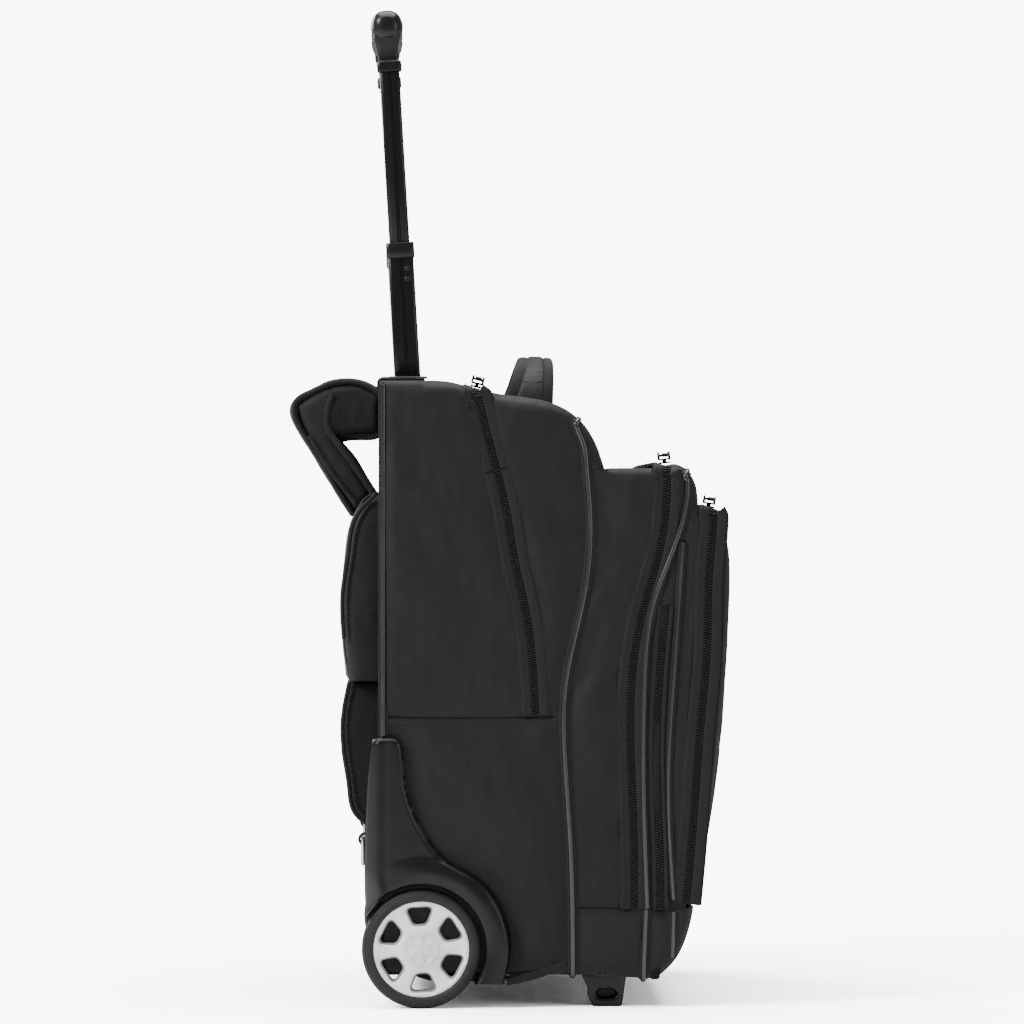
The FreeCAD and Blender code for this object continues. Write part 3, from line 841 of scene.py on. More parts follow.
z = Builder(SHELL, TAPE, COIL, THREAD)
for p in both_sides(Path(EXPANDER, lift=1.2)):
    for side in (-1, 1):
        coil(z, p, side)
        z.add(*sweep(p, [(side * b, n) for b, n in ((2.8, -1), (2.8, 0.6), (3.4, 1.0), (5.4, 1.0),
                                                    (6.2, -1))][::side]), SHELL)
z.build("expander_zip_coil", "front_cover", "expander_zip", slot="zip")


# ------------------------------------------------------------------ pipings
z = Builder(PIPING, SMOOTH)
for p in both_sides(Path([(-98, 207), (-98, 340), (-98, 474)])):
    cord_edge(z, p, 1.9)
cord_edge(z, Path([(x + 1.2, zz) for x, zz in SEAM_MAIN], (0, -1), radius=5, crown=0.4), 2.1, 1.0)
cord_edge(z, Path([(102, FOLD_Z - 0.3), (101, 50), (100, 22)], (0, -1), radius=5, crown=0.4), 1.9, 0.9)
for p in both_sides(Path([(123, 73), (122, 38)])):
    cord_edge(z, p, 1.5, 0.7)
z.build("case_piping", "case", "piping_case", slot="piping")
z = Builder(PIPING, SMOOTH)
cord_edge(z, Path([(56.7, RIM_Z + 0.1), (55.6, 422), (52.2, 434), (49.6, 441.5), (50.4, 446.8)],
                  (0.5, 0.866), radius=4.5), 2.1, 1.0)
z.build("top_cover_piping", "top_cover", "piping_lid", slot="piping")
z = Builder(PIPING, SMOOTH)
front_cord = [(103, FOLD_Z + GAP), (100, 192), (101, 250), (108, 309), (121, 344), (130, 371), (133.2, 389),
              (133.6, 407.6)]
cord_edge(z, Path(front_cord, (0.42, 0.91), radius=5), 1.9, 0.9)
z.build("front_cover_piping", "front_cover", "piping_front", slot="piping")
z = Builder(PIPING, SMOOTH)
for p in both_sides(Path([(130, 354), (127, 309), (123, 250), (119, 180), (120, 129), (123, 82)],
                         lift=0.8)):
    cord_edge(z, p, 1.5, 0.7)
z.build("pocket_piping", "front_cover", "piping_pocket", slot="piping")


# ------------------------------------------------------------------ shared builders
def turned(profile, centre, segs=96):
    """Closed (radius, y) profile turned about an axis along Y."""
    n = len(profile)
    verts, faces = [], []
    for k in range(segs):
        a = 2 * math.pi * k / segs
        verts += [(centre[0] + r * math.cos(a), y, centre[1] + r * math.sin(a)) for r, y in profile]
    for k in range(segs):
        q = (k + 1) % segs
        faces += [(k * n + j, q * n + j, q * n + (j + 1) % n, k * n + (j + 1) % n) for j in range(n)]
    return verts, faces


def relief(out, loop, holes, height, mat, walls=(), step=2.0):
    """Moulded face on the left side: height(x, z) gives its Y.

    walls lists (inset mm, y, material) for the holes, and the outline's own wall as (None, y, material).
    """
    co, tris = fill(np.asarray(loop, float), [np.asarray(h, float) for h in holes], step)
    ys = [height(x, z) for x, z in co]
    out.add([(x, y, z) for (x, z), y in zip(co, ys)], tris, mat)
    start = 0
    for ring, hole in [(loop, False)] + [(h, True) for h in holes]:
        ring = np.asarray(ring, float)
        n = len(ring)
        mid = ring.mean(0)
        last = [(x, ys[start + i], z) for i, (x, z) in enumerate(ring)]
        for inset, y, wall_mat in walls:
            if (inset is None) == hole:
                continue
            pull = (ring - mid) / np.maximum(np.hypot(*(ring - mid).T), 1e-6)[:, None] * (inset or 0)
            nxt = [(x, y if not callable(y) else y(x, z), z) for x, z in ring - pull]
            out.add(last + nxt, [(i, (i + 1) % n, n + (i + 1) % n, n + i) for i in range(n)], wall_mat)
            last = nxt
            ring = ring - pull
        start += n


def leaned(points):
    """Points of the upright handle moved to its backward lean."""
    c, s = math.cos(LEAN), math.sin(LEAN)
    return [(TUBE_X + (x - TUBE_X) * c - (z - TUBE_Z) * s, y, TUBE_Z + (x - TUBE_X) * s + (z - TUBE_Z) * c)
            for x, y, z in points]


def rings_faces(count, n, caps=True, closed=True):
    """Faces between successive rings of n points, with end caps."""
    faces = [(i * n + j, i * n + (j + 1) % n, (i + 1) * n + (j + 1) % n, (i + 1) * n + j)
             for i in range(count - 1) for j in range(n if closed else n - 1)]
    if caps:
        faces += [list(range(n))[::-1], [(count - 1) * n + j for j in range(n)]]
    return faces


def rounded_box(x, y, r, k=5):
    """Outline of a rounded rectangle of half sizes x and y."""
    pts = []
    for cx, cy, a0 in ((x - r, y - r, 0), (r - x, y - r, 90), (r - x, r - y, 180), (x - r, r - y, 270)):
        for i in range(k):
            a = math.radians(a0 + 90 * i / (k - 1))
            pts.append((cx + r * math.cos(a), cy + r * math.sin(a)))
    return pts


def softened(node, name, body, mat, voxel=2.6, amp=0.7, scale=0.03):
    """Cloth copy of a plain CAD node: rounded all over and slightly uneven."""
    src = NODES[node]
    me = src.data.copy()
    me.transform(src.matrix_world)
    me.materials.clear()
    me.materials.append(mat)
    ob = bpy.data.objects.new(name, me)
    bpy.context.scene.collection.objects.link(ob)
    modifier(ob, "REMESH", mode="VOXEL", voxel_size=voxel * MM)
    modifier(ob, "SMOOTH", factor=0.5, iterations=3)
    apply_all(ob)
    n = len(ob.data.vertices)
    co, nr = np.zeros(n * 3), np.zeros(n * 3)
    ob.data.vertices.foreach_get("co", co)
    ob.data.vertex_normals.foreach_get("vector", nr)
    co, nr = co.reshape(-1, 3), nr.reshape(-1, 3)
    d = np.array([fbm(*(p / MM), scale) for p in co])[:, None]
    ob.data.vertices.foreach_set("co", (co + nr * (d - 0.4) * amp * MM).ravel())
    ob.data.shade_smooth()
    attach(ob, body)
    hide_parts(node)
    return ob


def other_side(ob, name, body, *nodes, slot=None):
    """Mirror image of a finished left piece for the right side."""
    new = mirror_y(ob, name)
    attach(new, body)
    if nodes:
        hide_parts(*nodes)
    return new


# ------------------------------------------------------------------ wheels
def wheel_window(k):
    """Rounded trapezoid opening in the rim."""
    corners = [(17.4, -6.0, 4.4), (32.0, -11.6, 5.4), (32.0, 11.6, 5.4), (17.4, 6.0, 4.4)]
    pts = []
    for i, (r, t, rad) in enumerate(corners):
        p = np.array([r, t])
        a = np.array(corners[i - 1][:2]) - p
        b = np.array(corners[(i + 1) % 4][:2]) - p
        a, b = a / np.hypot(*a), b / np.hypot(*b)
        for u in np.linspace(0, 1, 7):
            q = p + rad * ((1 - u) ** 2 * a + u ** 2 * b)
            pts.append(q)
    turn = math.radians(93 + 60 * k)
    c, s = math.cos(turn), math.sin(turn)
    out = []
    for r, t in pts:
        bow = r + 1.0 * max(0.0, (r - 24) / 8) * (1 - (t / 11.6) ** 2)
        out.append((WHEEL[0] + bow * c - t * s, WHEEL[1] + bow * s + t * c))
    return out


def circle(r, n=120, centre=WHEEL):
    """Points on a circle about the wheel centre."""
    return [(centre[0] + r * math.cos(a), centre[1] + r * math.sin(a))
            for a in np.linspace(0, 2 * math.pi, n + 1)[:-1]]


WINDOWS = [wheel_window(k) for k in range(6)]


def rim_y(x, z):
    """Y of the rim's face, raised beside its windows."""
    r = math.hypot(x - WHEEL[0], z - WHEEL[1])
    y = np.interp(r, [0, 10, 14, 17, 30, 33, 34.2, 35.4, 36.3],
                  [-170.6, -170.6, -170.9, -170.2, -169.4, -169.8, -170.9, -171.0, -170.0])
    d = min(distance([(x, z)], np.array(w + w[:1]))[0] for w in WINDOWS)
    return y + 0.9 * math.exp(-(d / 1.1) ** 2)


def hub_y(x, z):
    """Y of the hub cap's face, with six dimples."""
    dx, dz = x - WHEEL[0], z - WHEEL[1]
    r = math.hypot(dx, dz)
    y = -172.2 + 1.2 * (r / 14.2) ** 4
    for k in range(6):
        a = math.radians(63 + 60 * k)
        d = math.hypot(dx - 8.6 * math.cos(a), dz - 8.6 * math.sin(a))
        y += 2.0 * math.exp(-(d / 2.8) ** 4)
    return y - 0.5 * math.exp(-(r / 3.6) ** 4)


def wheel():
    """Rim, hub cap and tyre of the left wheel, then of the right."""
    z = Builder(RIM, RIM_SHADED_WALL)
    # The window walls take the darker grey: painted shade inside the windows.
    relief(z, circle(36.3), WINDOWS, rim_y, RIM,
           [(1.5, -166.6, RIM_SHADED_WALL), (0.3, -161.5, RIM_SHADED_WALL), (None, -168.0, RIM)], 1.9)
    # Inner barrels of rim and hub in the darker grey: painted shade.
    z.add(*turned([(36.2, -170), (36.2, -151), (34.4, -151), (33.6, -161), (34.4, -169)], WHEEL), RIM_SHADED_WALL)
    z.add(*turned([(15, -168), (15, -161), (13, -152), (11.2, -152), (11.2, -168)], WHEEL, 48), RIM_SHADED_WALL)
    # Ledges inside the windows in the darker grey: painted shade.
    for w in WINDOWS:
        mid = np.mean(w, axis=0)
        inner = [tuple(np.array(p) - (np.array(p) - mid) / np.hypot(*(np.array(p) - mid)) * 1.8) for p in w]
        n = len(w)
        verts = [(x, -161.5, q) for x, q in inner] + [(x, -161.5, q) for x, q in w]
        z.add(verts, [(i, (i + 1) % n, n + (i + 1) % n, n + i) for i in range(n)], RIM_SHADED_WALL)
    rim = z.build("rim_left_wheel", "wheel_left", "rim_left", slot="rim")
    hub = Builder(HUB)
    relief(hub, circle(14.2, 60), [], hub_y, HUB, [(None, -169.8, HUB)], 1.1)
    cap = hub.build("hub_left_wheel", "wheel_left", "hub_cap_left", slot="rim")
    t = Builder(TYRE)
    face = [(36.2, -169.4), (36.8, -170.8), (38.2, -171.6), (39.9, -171.9), (41.6, -171.6), (42.2, -171.0),
            (42.7, -171.2),
            (43.9, -170.0), (44.7, -168.2), (45.0, -166.0), (45.0, -163.4), (44.5, -163.0), (44.5, -162.4),
            (45.0, -162.0)]
    back = [(r, -322 - y) for r, y in face[::-1]]
    t.add(*turned(face + back, WHEEL, 144), TYRE)
    tyre = t.build("tyre_left_wheel", "wheel_left", "tyre_left", slot="tyre")
    other_side(rim, "rim_right_wheel", "wheel_right", "rim_right", slot="rim")
    other_side(cap, "hub_right_wheel", "wheel_right", "hub_cap_right", slot="rim")
    other_side(tyre, "tyre_right_wheel", "wheel_right", "tyre_right", slot="tyre")


wheel()


# ------------------------------------------------------------------ wheel housings
HOUSE_BACK = [(-111, 69.4), (-112, 98), (-111, 141), (-109, 178), (-106, 204)]


def arch_points(r, a0, a1, n=44):
    """Points on an arc about the wheel centre."""
    return [(WHEEL[0] + r * math.cos(math.radians(a)), WHEEL[1] + r * math.sin(math.radians(a)))
            for a in np.linspace(a0, a1, n)]


def smoothstep(v, a, b):
    """Smooth rise from 0 at a to 1 at b."""
    t = min(max((v - a) / (b - a), 0.0), 1.0)
    return t * t * (3 - 2 * t)


def housing():
    """Wheel housing with its fender and well, on both sides."""
    arch = arch_points(48.6, -32.9, 149.8)
    side = spline(HOUSE_SIDE, 1.6)
    back = spline(HOUSE_BACK, 1.6)
    top = spline([(-106, 204), (-97, 206), (-88, 205.5)], 1.6)
    loop = np.vstack([top[:-1], side, spline([(-6, 18.6), arch[0]], 1.8)[1:-1], arch, back[1:-1]])
    loop = loop[::-1]
    outer = np.vstack([top, side])

    def face_y(x, z):
        r = math.hypot(x - WHEEL[0], z - WHEEL[1])
        angle = math.degrees(math.atan2(z - WHEEL[1], x - WHEEL[0]))
        d = distance([(x, z)], outer)[0]
        y = -170.2 - 0.4 * smoothstep(z, 90, 190)
        band = smoothstep(angle, 118, 74) if angle > -60 else 0.0
        if 47 < r < 70:
            y -= band * 3.8 * math.sin(math.pi * min(max((r - 46.5) / 22.5, 0), 1)) ** 0.7
        y += 2.9 * (1 - smoothstep(d, 0, 3.4))
        y += 1.6 * (1 - smoothstep(r - 48.6, 0, 2.2))
        ridge = -101.6 + 4.0 * (1 - smoothstep(z, 76, 104))
        if x < ridge:
            y += 0.55 * (ridge - x) ** 1.28
        else:
            y += 1.1 * math.exp(-((x - ridge - 4.5) / 3.0) ** 2)
        return y

    z = Builder(HOUSING, WELL)
    relief(z, loop, [], face_y, HOUSING, [(None, lambda x, zz: -141.0 if x < -100 else -163.6, HOUSING)],
           1.8)
    n = len(arch)
    z.add([(x, -170.0, q) for x, q in arch] + [(x, -147.0, q) for x, q in arch],
          [(i, i + 1, n + i + 1, n + i) for i in range(n - 1)], WELL)
    floor_line = spline([(-111, 69.4), (-108, 55), (-97, 36), (-84, 28), (-68, 21), (-28.4, 18.7)], 2.0)
    well = np.vstack([arch, floor_line[1:-1]])
    co, tris = fill(well, step=3.0)
    z.add([(x, -147.0, q) for x, q in co], tris, WELL)
    z.add(*turned([(4.2, -150.6), (7, -150.6), (8, -147), (4.2, -147)], WHEEL, 40), WELL)
    rear = np.vstack([back, [(-100, 204), (-100, 69.4)]])
    co, tris = fill(rear if signed_area(rear) > 0 else rear[::-1], step=4.0)
    z.add([(x, -141.0, q) for x, q in co], tris, HOUSING)
    left = z.build("housing_left_cover", "case", "wheel_housing_left", slot="black_plastic")
    other_side(left, "housing_right_cover", "case", "wheel_housing_right", slot="black_plastic")


housing()


# ------------------------------------------------------------------ pull handle
def tube_section(d, w, groove=1.5, depth=1.3):
    """Tube cross-section with a shallow groove down each broad side."""
    pts = rounded_box(d, w, 2.6, 4)
    out = []
    for a, b in zip(pts, pts[1:] + pts[:1]):
        out.append(a)
        if abs(a[1] - b[1]) < 0.01 and abs(a[0] - b[0]) > d:
            s = 1 if a[1] > 0 else -1
            turn = 1 if a[0] > b[0] else -1
            out += [(turn * groove, s * w), (turn * groove * 0.55, s * (w - depth)),
                    (-turn * groove * 0.55, s * (w - depth)), (-turn * groove, s * w)]
    return out


def add_tube(z, y0, d, w, low, high, mat):
    """Leaning grooved tube of half sizes d and w, open at its top."""
    sec = tube_section(d, w)
    n = len(sec)
    levels = [low, low + 0.6, high - 0.6, high, high, high - 4]
    shrink = [0.92, 1, 1, 0.97, 0.82, 0.82]
    verts = []
    for lv, k in zip(levels, shrink):
        verts += leaned([(TUBE_X + x * k, y0 + y * k, lv) for x, y in sec])
    z.add(verts, rings_faces(len(levels), n, caps=True), mat)


def add_block(z, sections, mat):
    """Upright block through (z, x, y half sizes, corner radius, x shift) sections at one tube."""
    verts = []
    for lv, x0, y0, hx, hy, r in sections:
        verts += leaned([(TUBE_X + x0 + x, y0 + y, lv) for x, y in rounded_box(hx, hy, r)])
    z.add(verts, rings_faces(len(sections), len(rounded_box(1, 1, 0.5))), mat)


def pull_handle():
    """Tubes, collars, grip and button of the pull handle."""
    low, up = Builder(TUBE), Builder(TUBE)
    collar, grip = Builder(BLACK), Builder(BLACK, GRIP)
    for y in (-TUBE_Y, TUBE_Y):
        add_tube(low, y, 10, 7, 400, 579, TUBE)
        add_tube(up, y, 7.75, 5, 525, 727.5, TUBE)
        add_block(collar, [(574.6, 0, y, 10.5, 7.5, 2.6), (575.4, 0, y, 11, 8, 2.8),
                           (585.6, 0, y, 11, 8, 2.8),
                           (586.6, 0, y, 10.4, 7.4, 2.6), (586.6, 0, y, 8.4, 5.6, 2),
                           (584, 0, y, 8.4, 5.6, 2)], BLACK)
        for lv in (566, 558):
            collar.add(*ball((TUBE_X, y - 7.1 * (1 if y < 0 else -1), lv), (2.6, 0.9, 2.2)), BLACK)
        add_block(grip, [(719.8, 0, y, 9.2, 6.4, 2.4), (721, 0, y, 9.6, 6.7, 2.6),
                         (726.6, 0, y, 9.6, 6.7, 2.6),
                         (727.8, 0, y, 9.0, 6.2, 2.4), (728.2, 0, y, 8.0, 5.9, 2.4),
                         (731.5, -0.3, y, 7.7, 6.2, 2.6),
                         (738, -0.7, y, 8.3, 7.4, 3.4), (743.5, -0.6, y, 9.8, 9, 4),
                         (749, 0, y, 10.5, 10, 5)], BLACK)
    low.build("lower_tubes_pair", "handle_lower", "lower_tubes", slot="tube")
    up.build("upper_tubes_pair", "handle_upper", "upper_tubes", slot="tube")
    collar.build("lower_collars_pair", "handle_lower", "lower_collars", slot="black_plastic")
    ys = [-88, -87.6, -86, -83, -79, -73, -66, -50, -25, 0, 25, 50, 66, 73, 79, 83, 86, 87.6, 88]
    grow = [0.25, 0.45, 0.68, 0.86, 0.96, 1.0, 0.985, 0.99, 1.0, 1.01, 1.0, 0.99, 0.985, 1.0, 0.96, 0.86,
            0.68, 0.45, 0.25]
    n, verts = 40, []
    for y, g in zip(ys, grow):
        for k in range(n):
            a = 2 * math.pi * k / n
            c, s = math.cos(a), math.sin(a)
            rx = 12.3 * g * signed_power(c, 0.86)
            rz = 12.8 * g * signed_power(s, 0.86)
            under = 0.5 * math.cos(y * 0.22) if s < -0.3 and abs(y) < 58 else 0.0
            verts += leaned([(TUBE_X + rx, y, 755 + rz + under)])
    grip.add(verts, rings_faces(len(ys), n), BLACK)
    for y in (-69.5, 69.5):
        ring = []
        for g, dy in ((0.985, -0.8), (1.015, -0.4), (1.015, 0.4), (0.985, 0.8)):
            for k in range(n):
                a = 2 * math.pi * k / n
                ring += leaned([(TUBE_X + 12.45 * g * math.cos(a), y + dy, 755 + 12.9 * g * math.sin(a))])
        grip.add(ring, rings_faces(4, n, caps=False), GRIP)
    grip.build("handle_grip", "handle_upper", "grip", slot="grip_rubber")
    b = Builder(BLACK)
    verts, plan = [], rounded_box(7.8, 24.6, 5, 7)
    for lv, k in ((760, 1.0), (768.6, 1.0), (769.8, 0.965), (770.5, 0.88), (770.6, 0.6)):
        verts += leaned([(TUBE_X + x * k, y * (1 - (1 - k) * 0.3), lv) for x, y in plan])
    b.add(verts, rings_faces(5, len(plan)), BLACK)
    for y in range(-16, 17, 4):
        b.pill(np.array(leaned([(TUBE_X, y, 770.4)])[0]), np.array([1.0, 0, 0.06]), np.array([0, 1.0, 0]),
               np.array([0, 0, 1.0]), (8, 1.2, 1.0), BLACK)
    b.build("handle_button_cap", "handle_button", "release_button", slot="black_plastic")


def ball(c, r, n=20, m=10):
    """Ellipsoid at c with radii r."""
    verts = [(c[0] + r[0] * math.sin(math.pi * i / m) * math.cos(2 * math.pi * k / n),
              c[1] + r[1] * math.sin(math.pi * i / m) * math.sin(2 * math.pi * k / n),
              c[2] + r[2] * math.cos(math.pi * i / m)) for i in range(m + 1) for k in range(n)]
    return verts, rings_faces(m + 1, n, caps=False)


def bezel_cover():
    """Moulded surround of the pull handle: top plate, back lip and a soft curve down the back."""
    z = Builder(BLACK, WELL)
    side = [(-66.2, 478.2), (-66.2, 480.2), (-67, 481), (-74, 481.1), (-99, 481.1), (-101.6, 480.4),
            (-102.9, 478.2),
            (-103, 474), (-103, 468.4), (-102.4, 467.2), (-100.3, 467.2), (-100.3, 478.2)]
    ys = [-100, -99.4, -98, -60, 0, 60, 98, 99.4, 100]
    verts = []
    for y in ys:
        k = 1 - 0.9 * max(abs(y) - 98, 0) / 2
        for x, q in side:
            verts.append((x + (0.5 * (1 - k)), y, q - (1.0 * (1 - k) if q > 478.5 else 0)))
    z.add(verts, rings_faces(len(ys), len(side)), BLACK)
    for y in (-TUBE_Y, TUBE_Y):
        outer, inner = rounded_box(15.5, 11.5, 3.5), rounded_box(10.6, 7.6, 2.6)
        n = len(outer)
        verts = []
        for ring, lv in ((outer, 480.9), (rounded_box(14.6, 10.6, 3.2), 482.4),
                         (rounded_box(11.4, 8.4, 2.8), 482.4), (inner, 481.4), (inner, 474)):
            verts += [(TUBE_X + x, y + q, lv) for x, q in ring]
        z.add(verts, rings_faces(5, n, caps=False), BLACK)
    for x in (-96, -71):
        for y in (-94, 94):
            z.add(*disc_ring(x, y, 3.9, 3.2, 481.0, 481.6), BLACK)
    z.build("handle_surround", "case", "trolley_bezel", slot="black_plastic")


def disc_ring(x, y, r1, r0, z0, z1, n=28):
    """Low ring around a screw."""
    verts = []
    for r, lv in ((r1, z0), (r1 - 0.2, z1), (r0, z1), (r0, z0 - 0.5)):
        verts += [(x + r * math.cos(2 * math.pi * k / n), y + r * math.sin(2 * math.pi * k / n), lv)
                  for k in range(n)]
    return verts, rings_faces(4, n, caps=False)


pull_handle()
bezel_cover()


# ------------------------------------------------------------------ top carry handle
FOOT_Z, ARCH_RISE = 461.5, 34.9          # where the arch starts on the cover, and its height
HANDLE_MID, COVER_SLOPE = 14.5, 0.19     # the arch's middle along X, and the fall of the cover per mm of X


def carry_handle():
    """Rubber arch with padded edges; across is the X offset from its middle line."""
    key = [(-70.5, FOOT_Z), (-69.5, 468), (-65.5, 476.5), (-58, 484), (-44, 490.4), (-24, 494.6),
           (0, 496.4)]
    left = spline(key, 1.6)
    line = np.vstack([left, (left[:-1] * (-1, 1))[::-1]])
    t, nrm = directions(line)
    level = np.clip((line[:, 1] - FOOT_Z) / ARCH_RISE, 0, 1)
    x_left = -5.0 + 12.6 * level ** 0.85
    x_right = 34.4 + 1.4 * level
    strap, rubber = Builder(WEBBING, THREAD), Builder(GRIP, WELL)

    def tube(out, cx, hx, hn, n0, mat, power=0.8):
        n, verts = 18, []
        for i in range(len(line)):
            for k in range(n):
                a = 2 * math.pi * k / n
                c, s = math.cos(a), math.sin(a)
                u = hx[i] * signed_power(c, power)
                v = n0 + hn * signed_power(s, power)
                # the feet follow the sloping cover
                fall = COVER_SLOPE * (cx[i] + u - HANDLE_MID) * (1 - level[i]) ** 3
                verts.append((cx[i] + u, line[i, 0] + nrm[i, 0] * v, line[i, 1] + nrm[i, 1] * v - fall))
        out.add(verts, rings_faces(len(line), n), mat)

    wide = np.full(len(line), 5.0) + 1.2 * (1 - level)
    tube(strap, x_left + wide, wide, 3.6, 0.0, WEBBING)
    tube(strap, x_right - wide + 0.6, wide * 0.86, 3.4, -0.2, WEBBING)
    mid = (x_left + x_right) / 2 + 0.3
    half = (x_right - x_left) / 2 - 8.0
    tube(strap, mid, half + 2.0, 1.8, -1.4, WEBBING, 0.6)
    tube(rubber, mid, half, 2.1, 1.9, GRIP, 0.62)
    s = arc_length(line)
    for dist in np.arange(16, s[-1] - 15, 8.6):
        i = int(np.searchsorted(s, dist))
        tt = np.array([0, t[i, 0], t[i, 1]])
        nn = np.array([0, nrm[i, 0], nrm[i, 1]])
        for k in (-1, 1):
            c = np.array([mid[i] + k * half[i] * 0.48, line[i, 0], line[i, 1]]) + nn * 3.75
            lean_dir = np.array([1.0, 0, 0]) + tt * (0.22 * k)
            rubber.pill(c, lean_dir / np.linalg.norm(lean_dir), tt, nn, (half[i] * 0.62, 1.5, 0.9), WELL)
    for out, name, nodes, slot in ((strap, "carry_handle_strap", ("carry_strap",), "webbing"),
                                   (rubber, "carry_handle_rubber", ("carry_grip",), "grip_rubber")):
        ob = sharpen(weld(add_mesh(name, out.v, out.f, True, out.mats, out.m), 1e-6), 60)
        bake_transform(ob)
        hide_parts(*nodes)
    z = Builder(WEBBING, THREAD)
    for y in (-1, 1):
        patch = rounded_box(22, 9, 3, 5)
        verts = []
        for k, lift in ((1.0, -0.6), (1.0, 0.9), (0.93, 1.5), (0.1, 1.7)):
            verts += [(HANDLE_MID + x * k, y * (70.5 + q * k * 0.9), 461.9 - x * k * COVER_SLOPE + lift)
                      for x, q in patch]
        z.add(verts, rings_faces(4, len(patch)), WEBBING)
        for x in np.arange(-18, 18.1, 3.4):
            for q in (-6.6, 6.6):
                z.pill(np.array([HANDLE_MID + x, y * (70.5 + q * 0.9), 461.9 - x * COVER_SLOPE + 1.75]),
                       np.array([1.0, 0, -COVER_SLOPE]),
                       np.array([0, 1.0, 0]), np.array([0, 0, 1.0]), (2.4, 0.8, 0.7), THREAD)
    z.build("carry_handle_patches", "top_cover", "handle_anchors", slot="webbing")


carry_handle()


# ------------------------------------------------------------------ shoulder straps and back pads
STRAP_OUT = [(-100, 466), (-116, 474.5), (-133, 475), (-152, 468), (-164.5, 459), (-158, 440), (-138, 406),
             (-119, 376)]
STRAP_IN = [(-106, 392), (-116, 408), (-125, 422), (-134, 434), (-116, 438), (-103, 440), (-101, 454)]


def moved(ob, dy):
    """Shift an object along Y."""
    ob.data.transform(Matrix.Translation((0, dy * MM, 0)))
    return ob


STRAP_Y = -75.0          # middle line of the left strap
FOLD_EDGE = [(-137, 467.5), (-140.6, 457), (-140.4, 441), (-134.5, 432), (-126.4, 421), (-114.8, 405),
             (-105, 390)]
LAYER_EDGE = [(-155, 436), (-143, 415), (-129.6, 396.6), (-119, 384)]


def strap_inside(q):
    """Underside of the strap, seen inside its fold."""
    return q[1] > 437 and q[0] > -139.5 or q[1] > 466


def shoulder_strap():
    """Padded strap folded over itself: a soft core, an outer band and its bound edges."""
    core = panel("strap_core_left", [STRAP_OUT[:5], STRAP_OUT[4:], STRAP_IN[:4], STRAP_IN[3:]],
                 [(6.0, 0.8), (6.0, 0.8), (5.0, 0.4), (5.0, 0.4)], [WEBBING, MESH, MESH], thickness=0,
                 y_half=29.5,
                 crown=2.6, wrinkle=2.2, smooth_below=strap_inside, seams=False, step=3.0)
    moved(core, STRAP_Y)
    z = Builder(WEBBING, THREAD, SMOOTH)
    line = spline(STRAP_OUT, 1.4)
    flow, nrm = directions(line)
    width = 27.5
    for edge, r in ((FOLD_EDGE, 2.3), (LAYER_EDGE, 1.6)):
        for side in (-1, 1):
            p = Path(edge)
            p.p[:, 1] = STRAP_Y + side * 31.6
            p.n = np.tile((0.0, side, 0.0), (len(p.s), 1))
            p.b = np.cross(p.t, p.n)
            z.add(*sweep(p, round_section(r, flat=0.55)), WEBBING)
    n, verts = 36, []
    for i, (x, q) in enumerate(line):
        for k in range(n):
            a = 2 * math.pi * k / n
            c, s = math.cos(a), math.sin(a)
            u = width * signed_power(c, 0.45)
            v = 3.6 * signed_power(s, 0.8) - 2.6
            v += 1.1 * math.cos(u / width * 1.2) + 0.9 * fbm(x, u, q, 0.035)
            v += 0.8 * math.exp(-((abs(u) - width + 5.5) / 2.2) ** 2) * (-1 if s > 0 else 0)
            verts.append((x + nrm[i, 0] * v, STRAP_Y + u, q + nrm[i, 1] * v))
    z.add(verts, rings_faces(len(line), n), WEBBING)
    s = arc_length(line)
    for dist in np.arange(4, s[-1] - 4, 4.0):
        i = min(int(np.searchsorted(s, dist)), len(line) - 1)
        for k in (-1, 1):
            c = np.array([line[i, 0] + nrm[i, 0] * 1.05, STRAP_Y + k * (width - 5.5), line[i, 1]
                          + nrm[i, 1] * 1.05])
            z.pill(c, np.array([flow[i, 0], 0, flow[i, 1]]), np.array([0, 1.0, 0]),
                   np.array([nrm[i, 0], 0, nrm[i, 1]]),
                   (2.6, 0.8, 0.7), THREAD)
    inner = spline(STRAP_IN, 1.4)
    nrm = directions(inner)[1]
    verts = []
    for i, (x, q) in enumerate(inner):
        for k in range(20):
            a = 2 * math.pi * k / 20
            c, s2 = math.cos(a), math.sin(a)
            u = 26.5 * signed_power(c, 0.5)
            v = 1.9 * signed_power(s2, 0.8) - 1.2
            verts.append((x + nrm[i, 0] * v, STRAP_Y + u, q + nrm[i, 1] * v))
    z.add(verts, rings_faces(len(inner), 20), SMOOTH)
    band = add_mesh("strap_band_left", z.v, z.f, True, z.mats, z.m)
    left = join("shoulder_strap_left_pad", [core, sharpen(weld(band, 1e-6), 70)])
    left.data.shade_smooth()
    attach(left, "case")
    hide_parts("shoulder_strap_left")
    right = other_side(left, "shoulder_strap_right_pad", "case", "shoulder_strap_right", slot="webbing")


def back_channels(x, y, z):
    """Quilting of the back pad: two upright channels and one across."""
    cut = math.exp(-((abs(y) - 42) / 5.0) ** 2) * smoothstep(z, 262, 280) * (1 - smoothstep(z, 366, 380))
    across = math.exp(-((z - 300) / 4.5) ** 2) * smoothstep(abs(y), 46,
                                                            56) * (1 - smoothstep(abs(y), 118, 128))
    return -4.5 * max(cut, across)


def lumbar_channels(x, y, z):
    """Quilting of the mesh pad: slanting channels."""
    d = abs(((abs(y) * 0.8 + (z - 130)) % 36) - 18)
    return -2.6 * math.exp(-(d / 3.4) ** 2) * smoothstep(abs(z - 192), 50, 40)


